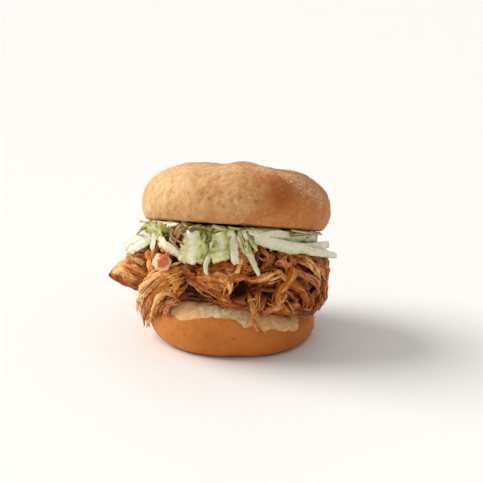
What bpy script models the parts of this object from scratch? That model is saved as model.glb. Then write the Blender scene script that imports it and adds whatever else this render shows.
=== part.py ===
"""A barbecue pulled-chicken roll: wheat bun heel, saucy pulled chicken, coleslaw and bun crown.

The roll stands on the flat base of its heel. The origin is the centre of that base, +Z is up,
+X is the eater's right and -Y is the open front, where the filling spills out. Lengths below are
in millimetres and angles in degrees; MM turns them into Blender's metres. A place on the side
of the heap is given by its angle round the vertical axis (0 at the front, positive to the
right) and its height.
"""
import math
import random

import bmesh
import bpy
from mathutils import Matrix, Vector
from mathutils.bvhtree import BVHTree

MM = 0.001                  # one millimetre in metres
GAP = 0.4                   # air left between two pieces that touch on the real roll

# Heel (the bottom half of the bun)
HEEL_RADIUS = 46.5          # widest, at the line where crust meets crumb
BASE_RADIUS = 37.0          # flat area that the roll stands on
RIM_RADIUS = 41.0           # inner edge of the sloping crumb band
HEEL_MIDDLE = 26.0          # height of the cut face at the centre
# rounded lower crust, from the base up: share of the crust line's height, and radius
HEEL_CRUST = [(0.0, BASE_RADIUS), (0.06, 41.0), (0.22, 43.6), (0.5, 45.6), (0.8, HEEL_RADIUS),
              (1.0, HEEL_RADIUS - 0.3)]
# how much further out the base reaches round the heel: it is fuller at the right front
BASE_FLARE = [(-180, 0.0), (-60, 0.0), (0, 0.6), (45, 3.4), (90, 3.0), (140, 0.4)]
CRUST_LINE = [(-180, 13.0), (-135, 13.0), (-90, 15.0), (-44, 20.0), (-12, 24.0), (1, 23.0),
              (13, 19.5), (24, 16.0), (52, 12.0), (90, 11.5), (135, 12.0)]
RIM_LINE = [(-180, 20.0), (-135, 20.0), (-90, 22.0), (-49, 27.5), (-30, 30.5), (-10, 31.0),
            (13, 27.5), (25, 24.0), (54, 18.5), (90, 16.5), (135, 18.0)]

# Crown (the top half of the bun), modelled flat and then leaned back on the heap
CROWN_RADIUS = 52.5
CROWN_THICK = 34.0
CROWN_WIDEST = 10.0         # height of the widest ring above the cut face
# from the middle of the cut face out to the widest ring: radius, and height above the cut face
CROWN_LIP = [(17.0, 0.0), (34.0, 0.0), (47.0, 0.0), (49.0, 0.6), (CROWN_RADIUS - 1.3, 4.5),
             (CROWN_RADIUS, CROWN_WIDEST)]
DOME_RINGS = 8
CROWN_OUT_OF_ROUND = 0.006
CROWN_SQUARENESS = 2.5      # 2 would be an ellipse; more makes fuller shoulders
CROWN_CENTRE = Vector((2.5, 0.0, 61.5))
CROWN_LEAN = -15.0          # about X: the front edge is lifted by the filling
CROWN_ROLL = 4.0            # about Y: the right side sits lower
CROWN_LOBES = [(-27, -8, 12, 1.4), (3, -10, 9, 1.8), (37, 0, 12, 2.4), (-11, -12, 7, -1.8),
               (17, -6, 8, -1.6), (-14, 16, 10, -1.0), (-2, 27, 13, 1.2)]

# Filling
SLAW_THICK = 9.0            # depth of the packed coleslaw below the cut face of the crown
SLAW_RADIUS = 45.5
# the packed coleslaw's section: share of its radius, and share of its depth from below
SLAW_EDGE = [(0.35, 0.0), (0.75, 0.0), (0.94, 0.0), (1.0, 0.35), (0.99, 0.75), (0.93, 1.0),
             (0.7, 1.0), (0.35, 1.0)]
CHICKEN_RADIUS = [(-180, 47.0), (-120, 47.5), (-80, 49.0), (-45, 48.5), (-10, 48.0), (30, 49.5),
                  (75, 52.0), (120, 49.0)]
CHICKEN_SKIRT = [(-180, 21.5), (-110, 21.5), (-75, 25.0), (-49, 28.5), (-28, 31.5), (-5, 31.5),
                 (13, 28.5), (25, 25.0), (54, 19.5), (85, 17.0), (135, 19.5)]

# Dark hollows between the shreds: angle, height, reach round the heap, reach in height, depth
HOLLOWS = [(5.5, 40.0, 7.0, 5.5, 9.0), (-24, 36.0, 8.0, 4.0, 6.0), (-21, 52.5, 8.0, 3.5, 4.0),
           (24, 38.5, 8.0, 5.0, 5.5), (66, 29.5, 9.0, 4.0, 4.5), (20, 53.5, 8.0, 4.0, 3.5),
           (125, 35.0, 9.0, 5.0, 5.0), (-130, 38.0, 9.0, 5.0, 5.0), (175, 33.0, 9.0, 4.0, 4.0)]

# Shreds that make the heap's outline and its front, each: half width, half thickness, how far
# its middle stands off the packed chicken, and its route as (angle, height) points
FRONT_SHREDS = [
    # the bunch that sweeps down to the left and hangs over the heel
    (2.7, 1.7, 3.4, [(-22, 53), (-37, 48), (-55, 36), (-73, 24), (-85, 11)]),
    (2.5, 1.6, 2.2, [(-25, 49), (-41, 42), (-57, 31), (-72, 19), (-79, 8)]),
    (2.3, 1.5, 1.8, [(-30, 44), (-45, 38), (-58, 28), (-69, 12)]),
    (2.2, 1.5, 1.6, [(-33, 39), (-47, 33), (-57, 24), (-65, 12)]),
    (2.0, 1.3, 5.2, [(-33, 51), (-50, 42), (-70, 30), (-92, 20)]),
    (1.5, 1.0, 6.4, [(-52, 36), (-68, 27), (-84, 18), (-90, 11)]),
    # long strands across the middle
    (3.0, 1.8, 1.8, [(-28, 49), (-16, 52), (-2, 53), (11, 51)]),
    (2.7, 1.7, 1.6, [(-23, 44), (-12, 46), (-3, 46), (5, 48), (14, 46)]),
    (2.4, 1.6, 1.4, [(-19, 39), (-10, 40), (-4, 35)]),
    (2.4, 1.6, 2.6, [(-13, 48), (-5, 48), (-1.6, 44), (-1.2, 36)]),
    (2.2, 1.5, 1.2, [(-16, 33), (-4, 32.5), (12, 30)]),
    # crossing strands on the right
    (2.3, 1.5, 2.2, [(9, 43), (17, 46), (28, 49)]),
    (2.0, 1.4, 1.8, [(11, 36), (19, 40), (30, 39), (37, 42)]),
    (2.8, 1.7, 2.6, [(42, 51), (37, 46), (31, 37), (28, 28)]),
    (2.1, 1.5, 3.0, [(48, 57), (54, 49), (61, 39)]),
    (2.3, 1.6, 1.8, [(60, 54), (69, 44), (74, 32), (72, 21)]),
    (2.1, 1.4, 1.6, [(76, 52), (84, 42), (88, 30), (84, 19)]),
    (2.4, 1.6, 1.8, [(30, 45), (42, 39), (50, 30), (53, 22)]),
    (2.3, 1.5, 1.6, [(16, 30), (30, 27), (44, 23), (60, 21)]),
    (2.4, 1.5, 1.6, [(26, 57), (40, 56), (53, 52), (66, 50)]),
    (1.9, 1.3, 2.4, [(29, 34), (35, 28), (38, 23)]),
]
# The saucy string that drips from the heap across the cut face of the heel
DRIP = (1.5, 0.9, [(9.0, 41.0, 42.0), (12.5, 31.0, 51.0), (14.5, 22.0, 49.6), (20.0, 15.0, 49.4),
                   (22.5, 11.0, 49.0)])
# The pointed chunk of breast meat that sticks out on the left
CHUNK_ROOT = Vector((-32.0, -20.0, 43.0))
CHUNK_TIP = Vector((-67.0, -9.0, 36.0))
CHUNK_HALF_HEIGHT = 11.5
CHUNK_HALF_DEPTH = 6.5
CHUNK_SIDES = 10
# share of the way from root to tip, and share of the full girth there
CHUNK_GIRTH = [(0.0, 0.75), (0.2, 0.95), (0.42, 1.0), (0.62, 0.84), (0.8, 0.56), (0.93, 0.26)]

# Coleslaw pieces: half width at the start and end, ripple, and the route as (angle, height)
# points; the first point is inside the packed coleslaw
LEAF_THICK = 1.5
WIDE_LEAF = 4.0             # half width from which a leaf piece also ripples across itself
SLAW_PIECES = [
    # ragged white piece on the left, cut into teeth, and a green sliver above it
    (4.8, 2.0, 0.4, [(-63, 66), (-70, 60), (-82, 52)]),
    (4.6, 2.0, 0.4, [(-60, 66), (-65, 60), (-69, 53)]),
    (4.0, 0.9, 0.4, [(-52, 66), (-51, 62), (-48, 58)]),
    (1.6, 0.6, 0.0, [(-60, 67), (-73, 63), (-89, 58)]),
    # leafy piece behind it
    (4.2, 3.4, 0.6, [(-47, 69), (-51, 66), (-54, 62)]),
    # long pale strip falling to the right
    (2.7, 1.6, 0.3, [(-58, 66), (-49, 63), (-41, 60), (-32, 57.5)]),
    # wide hanging piece
    (5.8, 8.2, 0.9, [(-24, 71), (-22.5, 64), (-21.5, 55)]),
    (2.6, 2.0, 0.4, [(-14, 73), (-14.5, 67), (-15, 61)]),
    # leaf with a pointed rib, and the curl beside it
    (5.2, 4.4, 0.7, [(-8, 70), (-7, 67), (-6, 61)]),
    (3.9, 2.0, 0.3, [(-2, 72), (1, 64), (3.5, 55)]),
    (1.9, 1.2, 0.0, [(-8, 67), (-12, 60), (-13.5, 54), (-12.4, 49.5)]),
    # drooping strip
    (2.6, 1.2, 0.0, [(6, 68), (9, 63.5), (12.5, 57), (15.7, 49)]),
    # long strips along the right
    (3.2, 2.2, 0.5, [(5, 73), (17, 71), (32, 68.6), (46, 67)]),
    (3.3, 2.6, 0.5, [(10, 68), (24, 64.6), (42, 61), (62, 57.5), (80, 55)]),
    (2.7, 1.5, 0.3, [(34, 62), (50, 57), (66, 52), (84, 46)]),
    (1.6, 0.9, 0.0, [(64, 65), (72, 61.5), (80, 58)]),
]

# The soft tomato dice that has slid down the front
DICE_HALF = 3.6
DICE_ANGLE = -39.5
DICE_HEIGHT = 53.5
DICE_NEAREST = 51.0         # the smallest radius tried for its middle
DICE_ROUNDING = 0.5

FULL_TURN = 360.0
HEAP_SIDES = 40             # facets round the lofted pieces
RING_ANGLES = [FULL_TURN * side / HEAP_SIDES - 180.0 for side in range(HEAP_SIDES)]
INNER_RADII = (30.0, 17.0)  # rings on the hidden faces between the layers
CHICKEN_LEVELS = 7          # rings up the side of the packed chicken
BACK_SHREDS = 22            # seeded shreds over the right, the back and the left
BACK_LEAVES = 9             # seeded cabbage pieces there
LIFTS = (0.0, 0.8, 1.8, 3.0, 4.4)   # how far a piece may be moved out to clear its neighbours
STRAIGHT_OUT = 0.7          # below this a route runs mostly away from the heap's axis


# --- small helpers -----------------------------------------------------------------------

def around(pairs, angle):
    """Smoothly blend a ring of (angle, value) pairs at one angle in degrees."""
    count = len(pairs)
    turned = (angle - pairs[0][0]) % FULL_TURN + pairs[0][0]
    for index, (start, low) in enumerate(pairs):
        end, high = pairs[(index + 1) % count]
        end += FULL_TURN if index == count - 1 else 0.0
        if start <= turned <= end:
            share = (turned - start) / (end - start)
            share = share * share * (3.0 - 2.0 * share)
            return low + (high - low) * share
    return pairs[0][1]


def place(angle, radius, height):
    """A point from its angle round the heap, its radius and its height."""
    turn = math.radians(angle)
    return Vector((radius * math.sin(turn), -radius * math.cos(turn), height))


def polar(x, y):
    """The angle and the radius of a point seen from above."""
    return math.degrees(math.atan2(x, -y)), math.hypot(x, y)


def material(name, colour, roughness):
    """A plain material with the part's own colour."""
    made = bpy.data.materials.new(name)
    made.use_nodes = True
    shader = made.node_tree.nodes["Principled BSDF"]
    shader.inputs["Base Color"].default_value = (*colour, 1.0)
    shader.inputs["Roughness"].default_value = roughness
    shader.inputs["Metallic"].default_value = 0.0
    return made


def solid(name, points, faces, finish):
    """An object from points in millimetres, with its faces turned outwards."""
    mesh = bpy.data.meshes.new(name)
    mesh.from_pydata([tuple(point * MM) for point in points], [], faces)
    work = bmesh.new()
    work.from_mesh(mesh)
    bmesh.ops.triangulate(work, faces=work.faces[:])
    bmesh.ops.recalc_face_normals(work, faces=work.faces[:])
    work.to_mesh(mesh)
    work.free()
    mesh.materials.append(finish)
    made = bpy.data.objects.new(name, mesh)
    bpy.context.scene.collection.objects.link(made)
    return made


def loft(name, rings, first, last, finish):
    """Join rings of points, closed by one point at each end, into a solid."""
    sides = len(rings[0])
    points = [first] + [point for ring in rings for point in ring] + [last]
    faces = []
    for side in range(sides):
        after = (side + 1) % sides
        faces.append((0, 1 + after, 1 + side))
        top = 1 + (len(rings) - 1) * sides
        faces.append((len(points) - 1, top + side, top + after))
        for level in range(len(rings) - 1):
            low = 1 + level * sides
            high = low + sides
            faces.append((low + side, low + after, high + after, high + side))
    return solid(name, points, faces, finish)


def tree_of(made):
    """A search tree over an object's surface, in metres."""
    return BVHTree.FromPolygons([v.co.copy() for v in made.data.vertices],
                                [tuple(p.vertices) for p in made.data.polygons])


def outside(tree, angle, height, reach=95.0):
    """How far out a surface lies at an angle and a height, or None where it isn't."""
    start = place(angle, reach, height) * MM
    inward = place(angle, -1.0, 0.0).normalized()
    hit = tree.ray_cast(start, inward, reach * MM)
    return None if hit[0] is None else reach - hit[3] / MM


def clashes(made, trees):
    """True if a piece, grown by the gap, cuts any of the surfaces."""
    mesh = made.data
    grown = [v.co + v.normal * GAP * MM for v in mesh.vertices]
    own = BVHTree.FromPolygons(grown, [tuple(p.vertices) for p in mesh.polygons])
    return any(own.overlap(tree) for tree in trees)


def smooth_route(points, steps):
    """A Catmull-Rom curve through a short list of points."""
    ends = [points[0] * 2 - points[1]] + points + [points[-1] * 2 - points[-2]]
    route = []
    spans = len(points) - 1
    for step in range(steps + 1):
        along = step / steps * spans
        span = min(int(along), spans - 1)
        t = along - span
        a, b, c, d = ends[span:span + 4]
        route.append(0.5 * (2 * b + (c - a) * t + (2 * a - 5 * b + 4 * c - d) * t * t
                            + (3 * b - a - 3 * c + d) * t * t * t))
    return route


def frames(route):
    """Along, across and outward directions at each point of a route over the heap's side."""
    last = len(route) - 1
    made = []
    for index, centre in enumerate(route):
        along = (route[min(index + 1, last)] - route[max(index - 1, 0)]).normalized()
        outward = Vector((centre.x, centre.y, 0.0)).normalized()
        across = along.cross(outward)
        made.append([along, across, outward])
    # where a route leaves the heap it runs straight outwards: it keeps the next point's width
    for index in range(last - 1, -1, -1):
        if made[index][1].length < STRAIGHT_OUT:
            made[index][1] = made[index + 1][1]
    for frame in made:
        frame[1] = (frame[1] - frame[0] * frame[1].dot(frame[0])).normalized()
        frame[2] = frame[1].cross(frame[0]).normalized()
    return made


def ribbon(name, route, half_widths, half_thick, finish, sides=4):
    """A flat shred along a route, its flat side facing away from the heap's axis."""
    rings = []
    last = len(route) - 1
    for index, (centre, (along, across, outward)) in enumerate(zip(route, frames(route))):
        width = half_widths[0] + (half_widths[1] - half_widths[0]) * index / last
        taper = 0.55 if index in (0, last) else 1.0
        ring = []
        for side in range(sides):
            turn = math.tau * (side + 0.5) / sides
            ring.append(centre + across * math.cos(turn) * width * taper * math.sqrt(2.0)
                        + outward * math.sin(turn) * half_thick * taper * math.sqrt(2.0))
        rings.append(ring)
    tip = half_thick * 0.8
    first = route[0] - (route[1] - route[0]).normalized() * tip
    final = route[-1] + (route[-1] - route[-2]).normalized() * tip
    return loft(name, rings, first, final, finish)


def fuse(core, pieces):
    """Join loose pieces to a core with one union and keep only the one joined body."""
    group = bpy.data.collections.new(core.name + "_pieces")
    bpy.context.scene.collection.children.link(group)
    for piece in pieces:
        group.objects.link(piece)
    joint = core.modifiers.new("Join", "BOOLEAN")
    joint.operation = "UNION"
    joint.operand_type = "COLLECTION"
    joint.collection = group
    joint.solver = "MANIFOLD"
    bpy.context.view_layer.update()
    joined = bpy.data.meshes.new_from_object(core.evaluated_get(
        bpy.context.evaluated_depsgraph_get()))
    core.modifiers.clear()
    core.data = joined
    for piece in pieces:
        bpy.data.objects.remove(piece)
    bpy.data.collections.remove(group)
    keep_largest(core)


def keep_largest(made):
    """Drop scraps and fill sealed hollows by keeping only the largest shell of a mesh."""
    work = bmesh.new()
    work.from_mesh(made.data)
    left = set(work.verts)
    shells = []
    while left:
        stack = [left.pop()]
        shell = set(stack)
        while stack:
            for edge in stack.pop().link_edges:
                for vert in edge.verts:
                    if vert in left:
                        left.discard(vert)
                        shell.add(vert)
                        stack.append(vert)
        shells.append(shell)
    shells.sort(key=len)
    for shell in shells[:-1]:
        bmesh.ops.delete(work, geom=list(shell), context="VERTS")
    bmesh.ops.triangulate(work, faces=work.faces[:])
    work.to_mesh(made.data)
    work.free()


# --- surfaces shared by neighbouring layers ----------------------------------------------

CROWN_TURN = (Matrix.Rotation(math.radians(CROWN_ROLL), 3, "Y")
              @ Matrix.Rotation(math.radians(CROWN_LEAN), 3, "X"))
CUT_NORMAL = CROWN_TURN @ Vector((0.0, 0.0, 1.0))


def heel_top(x, y):
    """Height of the heel's cut face."""
    angle, radius = polar(x, y)
    share = min(radius / RIM_RADIUS, 1.0)
    share = share * share * (3.0 - 2.0 * share)
    return HEEL_MIDDLE + (around(RIM_LINE, angle) - HEEL_MIDDLE) * share


def crown_cut(x, y):
    """Height of the crown's leaning cut face."""
    slide = CUT_NORMAL.x * (x - CROWN_CENTRE.x) + CUT_NORMAL.y * (y - CROWN_CENTRE.y)
    return CROWN_CENTRE.z - slide / CUT_NORMAL.z


def chicken_top(x, y):
    """Height of the packed chicken under the coleslaw."""
    radius = math.hypot(x, y)
    return crown_cut(x, y) - SLAW_THICK - 2.5 * (radius / SLAW_RADIUS) ** 2


def chicken_side(angle, height):
    """Radius of the packed chicken at an angle and a height, with its hollows."""
    low = around(CHICKEN_SKIRT, angle)
    rim = place(angle, SLAW_RADIUS, 0.0)
    high = chicken_top(rim.x, rim.y)
    share = min(max((height - low) / (high - low), 0.0), 1.0)
    bulge = 1.0 - 0.075 * abs(2.0 * share - 1.0) ** 2.5
    radius = around(CHICKEN_RADIUS, angle) * bulge
    for middle, level, wide, tall, depth in HOLLOWS:
        off = (angle - middle + 180.0) % FULL_TURN - 180.0
        radius -= depth * math.exp(-(off / wide) ** 2 - ((height - level) / tall) ** 2)
    return radius + 0.6 * math.sin(math.radians(angle) * 7.0 + height * 0.21)


# --- the pieces --------------------------------------------------------------------------

def heel():
    """Flat base, rounded crust, a sloping band of crumb and a slightly domed cut face."""
    crust = material("heel_crust", (0.47, 0.18, 0.055), 0.55)
    rings = [[place(angle, radius + around(BASE_FLARE, angle) * (1.0 - share),
                    around(CRUST_LINE, angle) * share) for angle in RING_ANGLES]
             for share, radius in HEEL_CRUST]
    band_middle = 0.5 * (HEEL_RADIUS + RIM_RADIUS)
    for radius in (band_middle, RIM_RADIUS, *INNER_RADII):
        ring = []
        for angle in RING_ANGLES:
            point = place(angle, radius, 0.0)
            point.z = heel_top(point.x, point.y)
            if radius == band_middle:
                point.z = 0.5 * (point.z + around(CRUST_LINE, angle))
            ring.append(point)
        rings.append(ring)
    return loft("bun_heel", rings, Vector((0, 0, 0)), Vector((0, 0, HEEL_MIDDLE)), crust)


def crown():
    """A full-shouldered dome with a few soft lobes, leaned back on the heap."""
    crust = material("crown_crust", (0.50, 0.24, 0.09), 0.5)
    rings = []
    outline = list(CROWN_LIP)
    dome = CROWN_THICK - CROWN_WIDEST
    for step in range(1, DOME_RINGS + 1):
        turn = math.radians(90.0 * step / (DOME_RINGS + 1))
        radius = CROWN_RADIUS * math.cos(turn) ** (2.0 / CROWN_SQUARENESS)
        rise = dome * math.sin(turn) ** (2.0 / CROWN_SQUARENESS)
        outline.append((radius, CROWN_WIDEST + rise))
    for radius, rise in outline:
        ring = []
        for angle in RING_ANGLES:
            wave = 1.0 + CROWN_OUT_OF_ROUND * math.sin(math.radians(3.0 * angle + 40.0))
            point = place(angle, radius * wave, rise)
            point.z += lobes(point.x, point.y) * max(rise - CROWN_WIDEST, 0.0) / dome
            ring.append(CROWN_CENTRE + CROWN_TURN @ point)
        rings.append(ring)
    top = Vector((0.0, 0.0, CROWN_THICK + lobes(0.0, 0.0)))
    return loft("bun_crown", rings, CROWN_CENTRE.copy(), CROWN_CENTRE + CROWN_TURN @ top, crust)


def lobes(x, y):
    """Extra height of the crown's soft lobes and dimples."""
    return sum(rise * math.exp(-((x - u) ** 2 + (y - v) ** 2) / (wide * wide))
               for u, v, wide, rise in CROWN_LOBES)


def packed_chicken(finish):
    """The core of the chicken: it fills the room between the heel and the coleslaw."""
    rings = []
    for radius in (*reversed(INNER_RADII), RIM_RADIUS):
        ring = []
        for angle in RING_ANGLES:
            point = place(angle, radius, 0.0)
            point.z = heel_top(point.x, point.y) + GAP
            ring.append(point)
        rings.append(ring)
    for level in range(CHICKEN_LEVELS + 1):
        ring = []
        for angle in RING_ANGLES:
            low = max(around(CHICKEN_SKIRT, angle), around(RIM_LINE, angle) + 2.0 * GAP)
            rim = place(angle, SLAW_RADIUS, 0.0)
            high = chicken_top(rim.x, rim.y)
            height = low + (high - low) * level / CHICKEN_LEVELS
            ring.append(place(angle, chicken_side(angle, height), height))
        rings.append(ring)
    for radius in INNER_RADII:
        ring = []
        for angle in RING_ANGLES:
            point = place(angle, radius, 0.0)
            point.z = chicken_top(point.x, point.y)
            ring.append(point)
        rings.append(ring)
    return loft("pulled_chicken", rings, Vector((0, 0, HEEL_MIDDLE + GAP)),
                Vector((0, 0, chicken_top(0.0, 0.0))), finish)


def chunk(finish):
    """The pointed chunk of meat on the left: a ridged, flattened spindle."""
    rings = []
    axis = CHUNK_TIP - CHUNK_ROOT
    along = axis.normalized()
    across = along.cross(Vector((0, 0, 1))).normalized()
    upward = across.cross(along).normalized()
    for share, size in CHUNK_GIRTH:
        ring = []
        for side in range(CHUNK_SIDES):
            turn = math.tau * side / CHUNK_SIDES
            ridge = 1.0 + 0.1 * math.cos(turn * CHUNK_SIDES / 2)
            ring.append(CHUNK_ROOT + axis * share
                        + across * math.cos(turn) * CHUNK_HALF_DEPTH * size * ridge
                        + upward * math.sin(turn) * CHUNK_HALF_HEIGHT * size * ridge)
        rings.append(ring)
    return loft("chunk", rings, CHUNK_ROOT - along * 3.0, CHUNK_TIP, finish)


def shred_routes(rng):
    """The front shreds first, then seeded ones over the sides and the back."""
    for shred in FRONT_SHREDS:
        yield shred
    for index in range(BACK_SHREDS):
        angle = 94.0 + 176.0 * (index + rng.uniform(0.1, 0.9)) / BACK_SHREDS
        rim = place(angle, SLAW_RADIUS, 0.0)
        low = around(CHICKEN_SKIRT, angle) + 2.0
        high = chicken_top(rim.x, rim.y) - 2.0
        height = rng.uniform(low, high)
        slant = rng.uniform(-1.2, 1.2)
        length = rng.uniform(16.0, 26.0)
        route = []
        for share in (-0.5, -0.15, 0.2, 0.5):
            turn = angle + math.degrees(length * share * math.cos(slant) / 48.0)
            level = height + length * share * math.sin(slant) + rng.uniform(-1.0, 1.0)
            route.append((turn, min(max(level, low), high)))
        yield rng.uniform(1.7, 2.8), rng.uniform(1.2, 1.7), rng.uniform(1.0, 2.4), route


def pulled_chicken(neighbours):
    """The packed core with its shreds, its chunk and its drip fused on."""
    finish = material("pulled_chicken_meat", (0.36, 0.13, 0.035), 0.38)
    core = packed_chicken(finish)
    rng = random.Random(41)
    pieces = [chunk(finish)]
    for half_width, half_thick, proud, route in shred_routes(rng):
        for lift in LIFTS:
            points = []
            for number, (angle, height) in enumerate(route):
                radius = max(chicken_side(angle, height), HEEL_RADIUS - 2.0 + 0.5 * number)
                points.append(place(angle, radius + proud + lift, height))
            points[0] = place(route[0][0], chicken_side(*route[0]) - 1.0, route[0][1])
            shred = ribbon("shred", smooth_route(points, 5), (half_width, half_width * 0.7),
                           half_thick, finish)
            if not clashes(shred, neighbours):
                pieces.append(shred)
                break
            bpy.data.objects.remove(shred)
    half_width, half_thick, route = DRIP
    drip = ribbon("drip", smooth_route([place(a, r, z) for a, z, r in route], 8),
                  (half_width, half_width * 0.5), half_thick, finish)
    if clashes(drip, neighbours):
        bpy.data.objects.remove(drip)
    else:
        pieces.append(drip)
    print("chicken pieces:", len(pieces))
    fuse(core, pieces)
    return core


def packed_slaw():
    """The core of the coleslaw: a ragged wavy disc under the crown."""
    finish = material("coleslaw_cabbage", (0.71, 0.74, 0.47), 0.42)
    rings = []
    for share, rise in SLAW_EDGE:
        ring = []
        for angle in RING_ANGLES:
            ragged = 1.0 + 0.03 * math.sin(math.radians(angle) * 9.0) * (share > 0.9)
            point = place(angle, SLAW_RADIUS * share * ragged, 0.0)
            low = chicken_top(point.x, point.y) + GAP
            high = crown_cut(point.x, point.y) - GAP
            point.z = low + (high - low) * rise
            ring.append(point)
        rings.append(ring)
    first = Vector((0, 0, chicken_top(0.0, 0.0) + GAP))
    last = Vector((0, 0, crown_cut(0.0, 0.0) - GAP))
    return loft("coleslaw", rings, first, last, finish)


def slaw_routes(rng):
    """The front pieces first, then seeded ones round the sides and the back."""
    for piece in SLAW_PIECES:
        yield piece
    for index in range(BACK_LEAVES):
        angle = 94.0 + 172.0 * (index + rng.uniform(0.2, 0.8)) / BACK_LEAVES
        rim = place(angle, SLAW_RADIUS, 0.0)
        high = crown_cut(rim.x, rim.y) - 4.5
        drop = rng.uniform(6.0, 13.0)
        sway = rng.uniform(-12.0, 12.0)
        wide = rng.uniform(1.8, 4.4)
        yield wide, wide * 0.5, 0.4, [(angle, high), (angle + sway * 0.5, high - drop * 0.45),
                                      (angle + sway, high - drop)]


def coleslaw(core, neighbours, chicken):
    """Cabbage strips and leaf pieces that hang over the chicken, fused on the packed core."""
    finish = core.data.materials[0]
    rng = random.Random(17)
    pieces = []
    for number, (start_width, end_width, ripple, route) in enumerate(slaw_routes(rng)):
        for lift in LIFTS:
            leaf = drape(start_width, end_width, ripple, route, lift, chicken, finish)
            if not clashes(leaf, neighbours):
                pieces.append(leaf)
                break
            bpy.data.objects.remove(leaf)
        else:
            print("no room for coleslaw piece", number, route[0])
    print("coleslaw pieces:", len(pieces))
    fuse(core, pieces)
    return core


def drape(start_width, end_width, ripple, route, lift, chicken, finish):
    """One cabbage piece that starts in the packed coleslaw and lies over the chicken."""
    half_thick = 0.5 * LEAF_THICK
    sideways = math.radians(abs(route[1][0] - route[0][0])) * SLAW_RADIUS
    slope = math.atan2(abs(route[1][1] - route[0][1]), sideways)
    upright = start_width * math.cos(slope) + half_thick + 2.0 * GAP
    points = []
    for number, (angle, height) in enumerate(route):
        radius = SLAW_RADIUS - 3.0
        if number > 0:
            reach = [outside(chicken, angle + side, height + level)
                     for side in (-5.0, 0.0, 5.0) for level in (-upright, 0.0, upright)]
            reach = [value for value in reach if value is not None] or [SLAW_RADIUS]
            radius = max(reach) + half_thick + ripple + 2.0 * GAP + lift
        spot = place(angle, radius, height)
        spot.z = min(spot.z, crown_cut(spot.x, spot.y) - upright)
        if number == 0:
            spot.z = max(spot.z, chicken_top(spot.x, spot.y) + upright)
        points.append(spot)
    turn = route[0][0] * 0.6 + route[1][0] * 0.4
    edge = place(turn, SLAW_RADIUS + 1.5 + lift, points[0].z * 0.8 + points[1].z * 0.2)
    edge.z = min(edge.z, crown_cut(edge.x, edge.y) - upright)
    points.insert(1, edge)
    return leaf_piece(smooth_route(points, 5), start_width, end_width, half_thick, ripple, finish)


def leaf_piece(route, start_width, end_width, half_thick, ripple, finish):
    """A thin rippled sheet along a route; both faces are split into triangles alike."""
    columns = 3 if start_width > WIDE_LEAF else 2
    last = len(route) - 1
    front = []
    back = []
    for row, (centre, (along, across, outward)) in enumerate(zip(route, frames(route))):
        width = start_width + (end_width - start_width) * row / last
        for column in range(columns + 1):
            side = 2.0 * column / columns - 1.0
            ragged = 1.0 + 0.12 * math.sin(row * 2.1 + column * 1.7)
            wave = ripple * math.sin(column * 2.3 + row * 1.1)
            spot = centre + across * side * width * ragged + outward * wave
            spot += along * ripple * math.cos(column * 2.9)
            front.append(spot + outward * half_thick)
            back.append(spot - outward * half_thick)
    wide = columns + 1
    behind = len(front)
    faces = []
    for row in range(last):
        for column in range(columns):
            a = row * wide + column
            b, c, d = a + 1, a + wide + 1, a + wide
            faces += [(a, b, c), (a, c, d)]
            faces += [(behind + a, behind + c, behind + b), (behind + a, behind + d, behind + c)]
    rim = [column for column in range(wide)]
    rim += [row * wide + columns for row in range(1, last + 1)]
    rim += [last * wide + column for column in range(columns - 1, -1, -1)]
    rim += [row * wide for row in range(last - 1, 0, -1)]
    for number, a in enumerate(rim):
        b = rim[(number + 1) % len(rim)]
        faces += [(a, behind + a, behind + b), (a, behind + b, b)]
    return solid("leaf", front + back, faces, finish)


def dice_block(centre, finish):
    """A slightly uneven cube with soft edges, turned a little on two axes."""
    rng = random.Random(5)
    work = bmesh.new()
    bmesh.ops.create_cube(work, size=2.0)
    bmesh.ops.bevel(work, geom=work.edges[:] + work.verts[:], offset=DICE_ROUNDING, segments=2,
                    profile=0.6, affect="EDGES")
    turn = (Matrix.Rotation(math.radians(24.0), 3, "Y")
            @ Matrix.Rotation(math.radians(35.0), 3, "Z"))
    for vert in work.verts:
        vert.co = (centre + turn @ vert.co * DICE_HALF * rng.uniform(0.95, 1.05)) * MM
    bmesh.ops.triangulate(work, faces=work.faces[:])
    bmesh.ops.recalc_face_normals(work, faces=work.faces[:])
    mesh = bpy.data.meshes.new("tomato_dice")
    work.to_mesh(mesh)
    work.free()
    mesh.materials.append(finish)
    made = bpy.data.objects.new("tomato_dice", mesh)
    bpy.context.scene.collection.objects.link(made)
    return made


def tomato_dice(neighbours):
    """The dice, moved out along its angle until it lies clear on the front of the heap."""
    finish = material("tomato_flesh", (0.78, 0.22, 0.09), 0.35)
    radius = DICE_NEAREST
    made = dice_block(place(DICE_ANGLE, radius, DICE_HEIGHT), finish)
    while clashes(made, neighbours):
        bpy.data.objects.remove(made)
        radius += 0.5
        made = dice_block(place(DICE_ANGLE, radius, DICE_HEIGHT), finish)
    print("tomato dice at radius", radius)
    return made


def main():
    """Clear the scene and build the roll from the bottom up."""
    for old in list(bpy.data.objects):
        bpy.data.objects.remove(old)
    bottom = heel()
    top = crown()
    slaw = packed_slaw()
    chicken = pulled_chicken([tree_of(bottom), tree_of(top), tree_of(slaw)])
    coleslaw(slaw, [tree_of(bottom), tree_of(top), tree_of(chicken)], tree_of(chicken))
    dice = tomato_dice([tree_of(chicken), tree_of(slaw), tree_of(top)])
    for made in (bottom, top, chicken, slaw, dice):
        made.data.shade_smooth()
        made.data.set_sharp_from_angle(angle=math.radians(40.0))
        print(made.name, len(made.data.polygons), "triangles")


main()
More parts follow.
